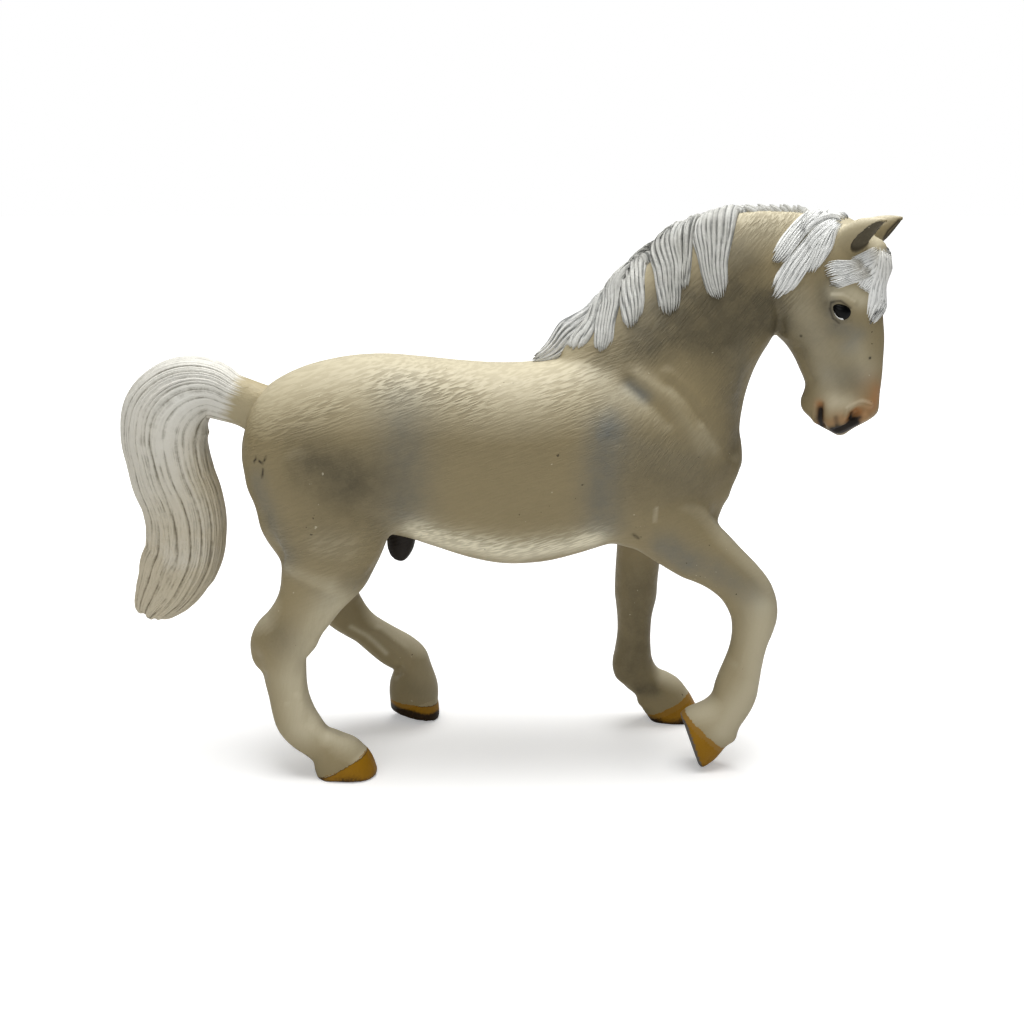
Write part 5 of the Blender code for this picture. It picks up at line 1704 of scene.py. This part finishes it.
# Locks that fall on the far side, given by where they would be on the near side
FAR_LOCKS = (
    WISP,
    Lock(((598, 298), (584, 312), (576, 326), (574, 338)),
         ((617, 290), (606, 312), (598, 328), (586, 340)), 0.9, 5, over=True, crest=0.9),
    Lock(((616, 284), (606, 298), (600, 315), (600, 330)),
         ((646, 252), (636, 280), (626, 305), (613, 328)), 1.0, 6, lift=0.1, over=True,
         crest=1.2),
    Lock(((644, 252), (634, 275), (630, 292), (634, 306)),
         ((684, 222), (670, 255), (660, 285), (648, 306)), 1.0, 7, over=True, crest=1.2),
    Lock(((682, 224), (672, 248), (668, 270), (676, 288)),
         ((722, 208), (712, 238), (702, 266), (690, 290)), 1.0, 7, lift=0.1, over=True,
         crest=0.9),
    Lock(((720, 209), (712, 235), (712, 258), (718, 276)),
         ((752, 199), (746, 226), (741, 252), (731, 277)), 1.0, 7, over=True, crest=0.3),
    Lock(((750, 199), (744, 224), (744, 246), (749, 264)),
         ((780, 198), (775, 224), (770, 246), (760, 265)), 0.9, 6, over=True, fray=0.4),
    Lock(((778, 198), (772, 222), (771, 242), (775, 258)),
         ((808, 202), (802, 224), (797, 242), (786, 258)), 0.9, 6, over=True, fray=0.4),
)
POLL_LOCKS = (
    Lock(((841, 217), (824, 222), (807, 236), (795, 250), (783, 264), (773, 280), (768, 298)),
         ((845, 222), (836, 232), (823, 247), (814, 262), (804, 276), (794, 289), (777, 304)),
         0.9, 6),
    Lock(((839, 221), (827, 231), (818, 244), (812, 258), (803, 276)),
         ((843, 225), (837, 234), (833, 247), (826, 259), (814, 276)),
         0.9, 4, lift=0.15),
    Lock(((853, 216), (837, 209), (819, 207), (801, 217), (785, 232), (775, 247), (768, 262)),
         ((847, 222), (834, 220), (820, 224), (806, 236), (796, 248), (786, 260), (775, 268)),
         1.0, 6, lift=0.2),
)
FORELOCKS = (
    Lock(((877, 243), (873, 254), (867, 264), (861, 274), (857, 281), (853, 285)),
         ((889, 262), (888, 273), (884, 282), (878, 289), (872, 294), (866, 294)),
         0.35, 9, fray=0.3, worn=0.4),
    Lock(((877, 245), (867, 250), (857, 255), (847, 260)),
         ((886, 254), (877, 263), (867, 269), (856, 274)), 0.35, 7, fray=0.3, worn=0.5),
    Lock(((868, 255), (859, 258), (850, 260), (838, 260), (828, 262), (820, 268)),
         ((874, 263), (863, 269), (854, 273), (844, 277), (834, 280), (825, 281)),
         0.5, 7, lift=0.1, fray=0.45, worn=0.6),
    Lock(((874, 260), (864, 267), (854, 272), (843, 276), (832, 279), (825, 281)),
         ((879, 271), (868, 278), (858, 282), (849, 285), (840, 288), (830, 289)),
         0.55, 6, lift=0.1, fray=0.4, worn=0.4),
    Lock(((878, 243), (877, 257), (874, 272), (870, 285), (868, 300), (867, 312), (866, 325)),
         ((884, 245), (891, 262), (891, 280), (889, 292), (886, 303), (881, 315), (875, 327)),
         0.75, 9, lift=0.1, fray=0.3, worn=0.2),
)


@dataclass
class Hair:
    """Flat locks of combed strands laid on the skin: mane, poll lock and forelock."""

    plan: Build
    sight: Sight
    tree: BVHTree
    steps: int = 9
    across: int = 56
    under: int = 8
    sunk: float = 0.35 * MM
    seed: int = 11
    # How much sooner a lock's sides end than its middle, how late its low strands start in
    # shares of the fray, how high its grooves lie, and how long its arch over the crest is
    side_cut: float = 0.09
    late_start: float = 0.6
    groove_level: float = 0.4
    arch_spread: float = 0.17
    # The tufts' first and last pixel along the crest, their level there and their count
    tuft_pixels: tuple = (742, 811, 203.0, 24)

    def on_skin(self, points: Array) -> tuple[Array, Array]:
        """The nearest places on the skin and the normals there, row by row.

        Args:
            points: places by row, by place across, by axis.

        Returns:
            The places and the normals, in the same layout.
        """
        found = [self.tree.find_nearest(Vector(point))[:2] for point in points.reshape(-1, 3)]
        places = np.array([tuple(place) for place, _ in found])
        normals = unit(np.array([tuple(normal) for _, normal in found]))
        return places.reshape(points.shape), normals.reshape(points.shape)

    def edge(self, pixels: Pixels, free: bool = False) -> Array:
        """Where the camera sees pixels on the skin, or the skin nearest to a sight line.

        Args:
            pixels: places in the photograph.
            free: take the middle plane instead of the skin.

        Returns:
            One place for each pixel.
        """
        eye = Vector(self.sight.place)
        places = []
        for pixel in pixels:
            ray = self.sight.ray(pixel)
            middle = eye - ray * (eye.y / ray.y)
            hit = middle if free else self.tree.ray_cast(eye, ray)[0]
            places.append(tuple(hit or self.tree.find_nearest(middle)[0]))
        return np.array(places)

    def over_crest(self, places: Array) -> Array:
        """Start an edge on the other side of the crest, a little above its first place.

        Args:
            places: the edge on its own side.

        Returns:
            The edge with two more places.
        """
        side = np.sign(places[0, 1]) or 1.0
        start = places[0] * [1, 0, 1] + np.array([0, -side * 1.6, 1.0]) * MM
        top = places[0] * [1, 0, 1] + np.array([0, 0, 2.0]) * MM
        return np.vstack([start, top, places[1:]])

    def strands(self, part: Array, reach: Array, count: int, rng: np.random.Generator) -> Array:
        """The height of the strands across a lock, from 0 in a groove to 1 on a crown.

        It is a sum of the sizes of sines across the lock, whose sharp zeros are the grooves.
        Their turns drift slowly along the lock, so the strands wander and join.

        Args:
            part: the share of the length, by row.
            reach: the place across, from -1 to 1, by column.
            count: how many main strands.
            rng: the seeded source of small differences.

        Returns:
            One height for each row and column.
        """
        total = np.zeros(np.broadcast(part, reach).shape)
        weight = 0.0
        for times, share in ((1.0, 1.0), (1.9, 0.6), (3.7, 0.35), (7.0, 0.12)):
            drift = rng.uniform(0, 6.3) + rng.uniform(0.7, 1.8) * np.sin(
                rng.uniform(2.5, 6.0) * part + rng.uniform(0, 6.3))
            bend = 0.12 * np.sin(2.3 * reach + rng.uniform(0, 6.3))
            total = total + share * np.abs(np.sin(
                np.pi * count * times * (reach + bend) / 2 + drift))
            weight += share
        return total / weight

    def lay(self, lock: Lock, mirror: Mirror, rng: np.random.Generator
            ) -> tuple[Form, dict[str, Array]]:
        """Lay one lock on the skin.

        Across the lock the rise is the square root of one minus the fourth power of the
        place, so it is flat with rounded sides, and along it the same root rounds both ends.
        The strands' height carves it, and makes each strand end a little sooner or later.

        Args:
            lock: its edges, rise and strands.
            mirror: the side on which it lies.
            rng: the seeded source of small differences.

        Returns:
            The closed form and its ridge, tint and coat masks.
        """
        edges = []
        for pixels in (lock.left, lock.right):
            places = self.plan.mirrored(self.edge(pixels, lock.free), mirror)
            edges.append(smooth_rows(self.over_crest(places) if lock.over else places,
                                     self.steps))
        rows = len(edges[0])
        part = np.linspace(0, 1, rows)[:, None]
        reach = np.linspace(-1, 1, self.across)[None]
        height = self.strands(part, reach, lock.strands, rng)
        short = 1 - lock.fray * (1 - height[-1]) - self.side_cut * reach[0] ** 2
        late = self.late_start * lock.fray * height[0]
        station = (late + part * (short - late)) * (rows - 1)
        low = np.minimum(station.astype(int), rows - 2)
        rest = (station - low)[..., None]
        left, right = (edge[low] * (1 - rest) + edge[low + 1] * rest for edge in edges)
        tilt = (reach[..., None] + 1) / 2
        skin = left * (1 - tilt) + right * tilt
        if lock.free:
            normals = np.broadcast_to([0.0, -1.0 if mirror is NONE else 1.0, 0.0],
                                      skin.shape).copy()
        else:
            skin, normals = self.on_skin(skin)
        for _ in range(3):
            normals[:, 1:-1] = unit(normals[:, :-2] + normals[:, 1:-1] + normals[:, 2:])
            normals[1:-1] = unit(normals[:-2] + normals[1:-1] + normals[2:])
        sides = np.sqrt(held(1 - reach ** 4))
        ends = np.sqrt(held(1 - part ** 9)) * np.sqrt(held(1 - (1 - part) ** 9))
        arch = lock.crest * np.exp(-((part - 1 / len(lock.left)) / self.arch_spread) ** 2)
        strands = self.groove_level + (1 - self.groove_level) * height
        rise = (lock.rise * strands + lock.lift + arch) * MM * sides * ends
        top = skin + normals * rise[..., None]
        pick = np.linspace(self.across - 1, 0, self.under).astype(int)
        below = skin[:, pick] - normals[:, pick] * self.sunk
        form = tube(np.concatenate([top, below], axis=1))
        # The ridge mark falls towards a lock's sides and, unless the lock hangs free, to nought
        # underneath: painted shade along and under each lock's edges.
        ridge = held((height - 0.3) * 1.7 + 0.25 * part ** 4) * (0.6 + 0.4 * sides)
        fade = lock.worn * held(1 - 2.0 * part)
        marks = {"ridge": (ridge, 1.0 * lock.free), "tint": (lock.grey + 0 * ridge, 1.0),
                 "coat": (fade + 0 * ridge, 1.0)}
        middle = self.across // 2
        return form, {label: np.append(
            np.concatenate([values, values[:, pick] * share], axis=1).ravel(),
            values[[0, -1], middle]) for label, (values, share) in marks.items()}

    def tufts(self, rng: np.random.Generator) -> tuple[Form, dict[str, Array]]:
        """Short tufts that stand on the bare part of the crest, grey at their tips.

        Args:
            rng: the seeded source of small differences.

        Returns:
            Their form and its ridge, tint and coat marks.
        """
        forms, ridges = [], []
        first, last, level, count = self.tuft_pixels
        for step in np.linspace(first, last, count):
            pixel = (step + rng.uniform(-1.5, 1.5), level + rng.uniform(-1, 1))
            foot = self.edge((pixel,))[0] * [1, 0, 1]
            foot = foot + np.array([0, rng.uniform(-0.5, 0.3), 0]) * MM
            lean = np.array([rng.uniform(-1.8, -0.3), rng.uniform(-0.15, 0.1), 0.9])
            size = rng.uniform(0.6, 1.3) * MM
            rows = [[*(foot + lean * size * along), half * MM, half * MM]
                    for along, half in ((-0.5, 0.6), (0.3, 0.52), (0.8, 0.32), (1.1, 0.08))]
            form = limb(rows, 2.0, 12)
            forms.append(form)
            tall = (form.points[:, 2] - foot[2]) / size
            ridges.append(np.clip(1.6 - tall, 0.2, 1))
        ridge = np.concatenate(ridges)
        return join_forms(forms), {"ridge": ridge, "tint": (1 - ridge) / 2, "coat": 0 * ridge}

    def build(self, material: Material) -> None:
        """Lay every lock and write the three pieces: each has its tone and brightness.

        Args:
            material: the white hair's finish.
        """
        rng = np.random.default_rng(self.seed)
        plans = {"mane": (0.7, 0.0, [(NEAR_LOCKS, NONE), (FAR_LOCKS, BODY)]),
                 "poll_lock": (0.0, 0.2, [(POLL_LOCKS, NONE)]),
                 "forelock": (0.0, 0.2, [(FORELOCKS, NONE), (FORELOCKS, HEAD)])}
        for name, (tone, bright, groups) in plans.items():
            made = [self.lay(lock, mirror, rng) for locks, mirror in groups for lock in locks]
            if name == "mane":
                made.append(self.tufts(rng))
            marks = {label: np.concatenate([masks[label] for _, masks in made])
                     for label in ("ridge", "tint", "coat")}
            marks["tint"] = held(marks["tint"] + tone)
            marks["ridge"] = held(marks["ridge"] + bright)
            form = join_forms([form for form, _ in made])
            place_piece(write_piece(name + "_hair", form, material, marks), "white_hair", name)


@dataclass
class Tail:
    """The arched tail with long combed grooves and a swept, uneven tip."""

    plan: Build
    reach: float = 28 * MM
    drop: float = 42 * MM
    depth: float = 18 * MM
    width: float = 12 * MM
    ring: int = 384
    steps: int = 12
    seed: int = 5
    groove_depth: float = 0.8 * MM
    # Where the inner bend is calmed, how far it reaches, and for how many rounds
    bend: tuple = (0.36, 0.11, 60)

    root = (0.083, 0.245)
    rows = (
        (0.0, 0.034, 0.52, 0.62), (0.12, 0.008, 0.52, 0.62), (0.24, -0.028, 0.48, 0.6),
        (0.35, -0.055, 0.5, 0.66), (0.46, -0.085, 0.6, 0.74), (0.57, -0.08, 0.72, 0.82),
        (0.67, -0.045, 0.82, 0.9), (0.75, 0.02, 0.88, 0.96), (0.781, 0.11, 0.85, 1.0),
        (0.77, 0.2, 0.818, 1.0), (0.743, 0.3, 0.812, 0.99), (0.7, 0.385, 0.805, 0.97),
        (0.677, 0.47, 0.8, 0.94), (0.681, 0.56, 0.792, 0.9), (0.705, 0.64, 0.77, 0.84),
        (0.755, 0.705, 0.75, 0.77), (0.815, 0.78, 0.66, 0.66), (0.885, 0.845, 0.53, 0.52),
        (0.94, 0.895, 0.38, 0.38), (0.965, 0.928, 0.2, 0.24),
    )

    def grooves(self, along: Array, turn: Array) -> Array:
        """The height of the strands, from 0 in a groove to 1 on a crown.

        It is a sum of the sizes of sines round the tail, whose sharp zeros are the grooves.
        Their turns drift slowly along the tail, so strands wander, split and join.

        Args:
            along: the share of the length, by row.
            turn: the place round the tail in radians, by column.

        Returns:
            One height for each row and column.
        """
        rng = np.random.default_rng(self.seed)
        total = np.zeros(np.broadcast(along, turn).shape)
        weight = 0.0
        for waves, share in ((13, 0.6), (23, 0.8), (41, 0.9), (67, 0.7), (97, 0.4)):
            drift = 0.0
            for step in (1, 2, 3.3):
                drift = drift + rng.uniform(-0.9, 0.9) * np.sin(
                    step * np.pi * along + rng.uniform(0, 6.3)) / step
            bulge = 0.25 * np.sin(2 * turn + rng.uniform(0, 6.3)) * np.sin(3 * along + 1)
            total = total + share * np.abs(np.sin(
                waves * (turn + bulge) / 2 + drift + rng.uniform(0, 6.3)))
            weight += share
        return total / weight

    def ragged(self, grid: Array, turn: Array) -> Array:
        """Let each clump of strands end a little sooner, by how far it is from a clump's crown.

        Args:
            grid: the tail's points, row by row.
            turn: the place round the tail, in radians.

        Returns:
            The same columns, each cut to its own length.
        """
        short = 0.06 * (1 - np.abs(np.sin(2.5 * turn[0] + 0.6)) ** 0.7)
        station = np.linspace(0, 1, len(grid))[:, None] * (1 - short) * (len(grid) - 1)
        low = np.minimum(station.astype(int), len(grid) - 2)
        rest = (station - low)[..., None]
        column = np.arange(grid.shape[1])[None]
        return grid[low, column] * (1 - rest) + grid[low + 1, column] * rest

    def build(self, material: Material) -> None:
        """Carry the grooved profile along the tail and write the piece.

        Args:
            material: the tail's finish.
        """
        plan = self.plan
        table = np.array(self.rows)
        root = plan.trunk_place(*self.root)
        centres = root + np.stack([-table[:, 0] * self.reach, 0 * table[:, 0],
                                   -table[:, 1] * self.drop], -1)
        rows = smooth_rows(np.column_stack([centres, table[:, 2] * self.depth / 2,
                                            table[:, 3] * self.width / 2]), self.steps)
        along = np.linspace(0, 1, len(rows))[:, None]
        turn = (2 * np.pi * np.arange(self.ring) / self.ring)[None]
        height = self.grooves(along, turn)
        depth = self.groove_depth * np.clip((along - 0.12) * 5, 0.03, 1)
        ups = path_ups(rows[:, :3])
        grid = sections(rows[:, :3], ups, rows[:, 3], rows[:, 3], rows[:, 4],
                        2.3, count=self.ring)
        out = unit(grid - rows[:, None, :3])
        grid = grid - out * ((0.62 - height) * depth)[..., None]
        form = tube(self.ragged(grid, turn))
        inner = held((out * ups[:, None]).sum(-1))
        middle, spread, rounds = self.bend
        bend = np.exp(-((along - middle) / spread) ** 4) * held(inner * 2)
        form.calmed(rounds, np.append(bend.ravel(), [0, 0]))
        values = {"ridge": held((height - 0.15) * 1.4),
                  "tint": np.clip((along - 0.3) * 2.2, 0, 1.3) + 0.5 * inner ** 3,
                  "coat": held((0.165 + 0.05 * (0.6 - height) - along) / 0.03)}
        marks = {label: np.append(level.ravel(), level[[0, -1], 0])
                 for label, level in values.items()}
        place_piece(write_piece("tail_hair", form, material, marks), "grey_white_hair", "tail")


@dataclass
class Eyes:
    """Two glossy almond eyes set into the sides of the head."""

    plan: Build
    tree: BVHTree
    length: float = 4.1 * MM
    height: float = 3.4 * MM
    bulge: float = 1.4 * MM
    tilt: float = 36.0
    sink: float = 0.5
    away: float = 30 * MM
    place = (0.307, 0.41)

    def build(self, material: Material) -> None:
        """Set each eye where a line from the side meets the head.

        A ball's height is scaled by a root of the place along it, which makes an almond, and
        the rim is white below and behind, near the ball's edge.

        Args:
            material: the eyes' finish.
        """
        plan = self.plan
        for name, side in (("right_eye", -1), ("left_eye", 1)):
            inward = plan.head_turned() @ np.array([0.0, -side, 0.0])
            aim = plan.head_share(self.place[0], 0.0, self.place[1]) - inward * self.away
            hit = self.tree.ray_cast(Vector(aim), Vector(inward))[0]
            radii = np.array([self.length / 2, self.bulge, self.height / 2])
            form = ball(np.zeros(3), radii, 0.0, 96)
            local = form.points / radii
            reach = np.hypot(local[:, 0], local[:, 2])
            lower = held(0.3 - 1.7 * local[:, 2] - 1.2 * local[:, 0])
            rim = held((reach - 0.66) * 8) * held(lower * 2)
            form.points[:, 2] *= 1.12 * (np.clip(1 + local[:, 0], 0, 2) / 2) ** 0.45
            turn = np.array(Matrix.Rotation(math.radians(self.tilt), 3, "Y"))
            form.points = form.points @ turn.T @ plan.head_turned().T
            form.points += np.array(hit) + inward * self.bulge * self.sink
            place_piece(write_piece(name + "_ball", form, material, {"rim": rim}),
                        "black_eye", name)


@dataclass(frozen=True)
class Studio:
    """A pale floor, a pale sky and two broad soft lights."""

    half_floor: float = 3.0
    sky_light: float = 0.2
    paper: tuple = (0.86, 0.86, 0.855, 1)
    middle: tuple = (0.0, 0.0, 0.05)
    # How far from the figure the paper starts and ends to glow, in metres, and how much
    glow: tuple = (0.06, 0.4, 0.3, 1.0)

    def build(self) -> None:
        """Make floor, sky and lights."""
        half = self.half_floor
        corner = np.array([(-half, -half, 0), (half, -half, 0), (half, half, 0), (-half, half, 0)])
        floor = add_object("floor", form_mesh("floor", Form(corner, np.arange(4)[None])))
        floor.data.materials.append(self.floor_material())
        world = bpy.data.worlds.new("sky")
        world.use_nodes = True
        wire = Wire(world.node_tree)
        seen = wire.node("ShaderNodeLightPath").outputs["Is Camera Ray"]
        wire.feed(world.node_tree.nodes["Background"],
                  {"Color": (1, 1, 1, 1),
                   "Strength": wire.span(seen, 0.0, 1.0, self.sky_light, 1.0)})
        bpy.context.scene.world = world
        bpy.context.scene.view_settings.view_transform = "Standard"
        self.light("top_light", (0.02, 0.02, 0.5), 0.42, 3.4)
        self.light("side_light", (-0.2, -0.55, 0.3), 0.4, 0.8)

    def light(self, name: str, place: tuple, size: float, power: float) -> None:
        """A square soft light that faces the figure.

        Args:
            name: its name.
            place: where it hangs, in metres.
            size: its side in metres.
            power: in watts.
        """
        data = bpy.data.lights.new(name, "AREA")
        data.size = size
        data.energy = power
        lamp = add_object(name, data)
        lamp.location = place
        aim = Vector(self.middle) - Vector(place)
        lamp.rotation_euler = aim.to_track_quat("-Z", "Y").to_euler()

    def floor_material(self) -> Material:
        """Matt paper that glows for the camera, more away from the figure, and so fades into the
        white sky.

        Returns:
            The material.
        """
        made, wire, shader = new_material("floor_paper")
        away = wire.node("ShaderNodeVectorMath", {0: wire.place()}, operation="LENGTH").outputs[1]
        seen = wire.node("ShaderNodeLightPath").outputs["Is Camera Ray"]
        wire.feed(shader, {"Base Color": self.paper, "Roughness": 0.9,
                           "Emission Color": (1, 1, 1, 1),
                           "Emission Strength": wire.times(wire.span(away, *self.glow), seen)})
        return made


def main() -> None:
    """Build the classes in order and report each piece."""
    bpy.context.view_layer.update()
    plan = Build()
    sight = Sight()
    sight.build()
    Studio().build()
    shared = SharedGroups()
    finishes = (CoatFinish(), HoofFinish(), HairFinish(), EyeFinish(),
                HairFinish(name="tail_paint", slot="grey_white_hair",
                           crown=(0.68, 0.665, 0.605, 1), groove=(0.24, 0.225, 0.18, 1),
                           tint=(0.75, 0.68, 0.55, 1)))
    materials = {finish.slot: finish.build(shared) for finish in finishes}
    body = Body(plan, sight)
    body.melt()
    LOG.info("skin: %d points", len(body.form.points))
    body.sculpt()
    body.paint()
    body.dress(materials)
    tree = search_tree(body.form)
    Hair(plan, sight, tree).build(materials["white_hair"])
    Tail(plan).build(materials["grey_white_hair"])
    Eyes(plan, tree).build(materials["black_eye"])
    bpy.context.view_layer.update()


if __name__ == "__main__":
    logging.basicConfig(level=logging.INFO, format="%(message)s")
    main()
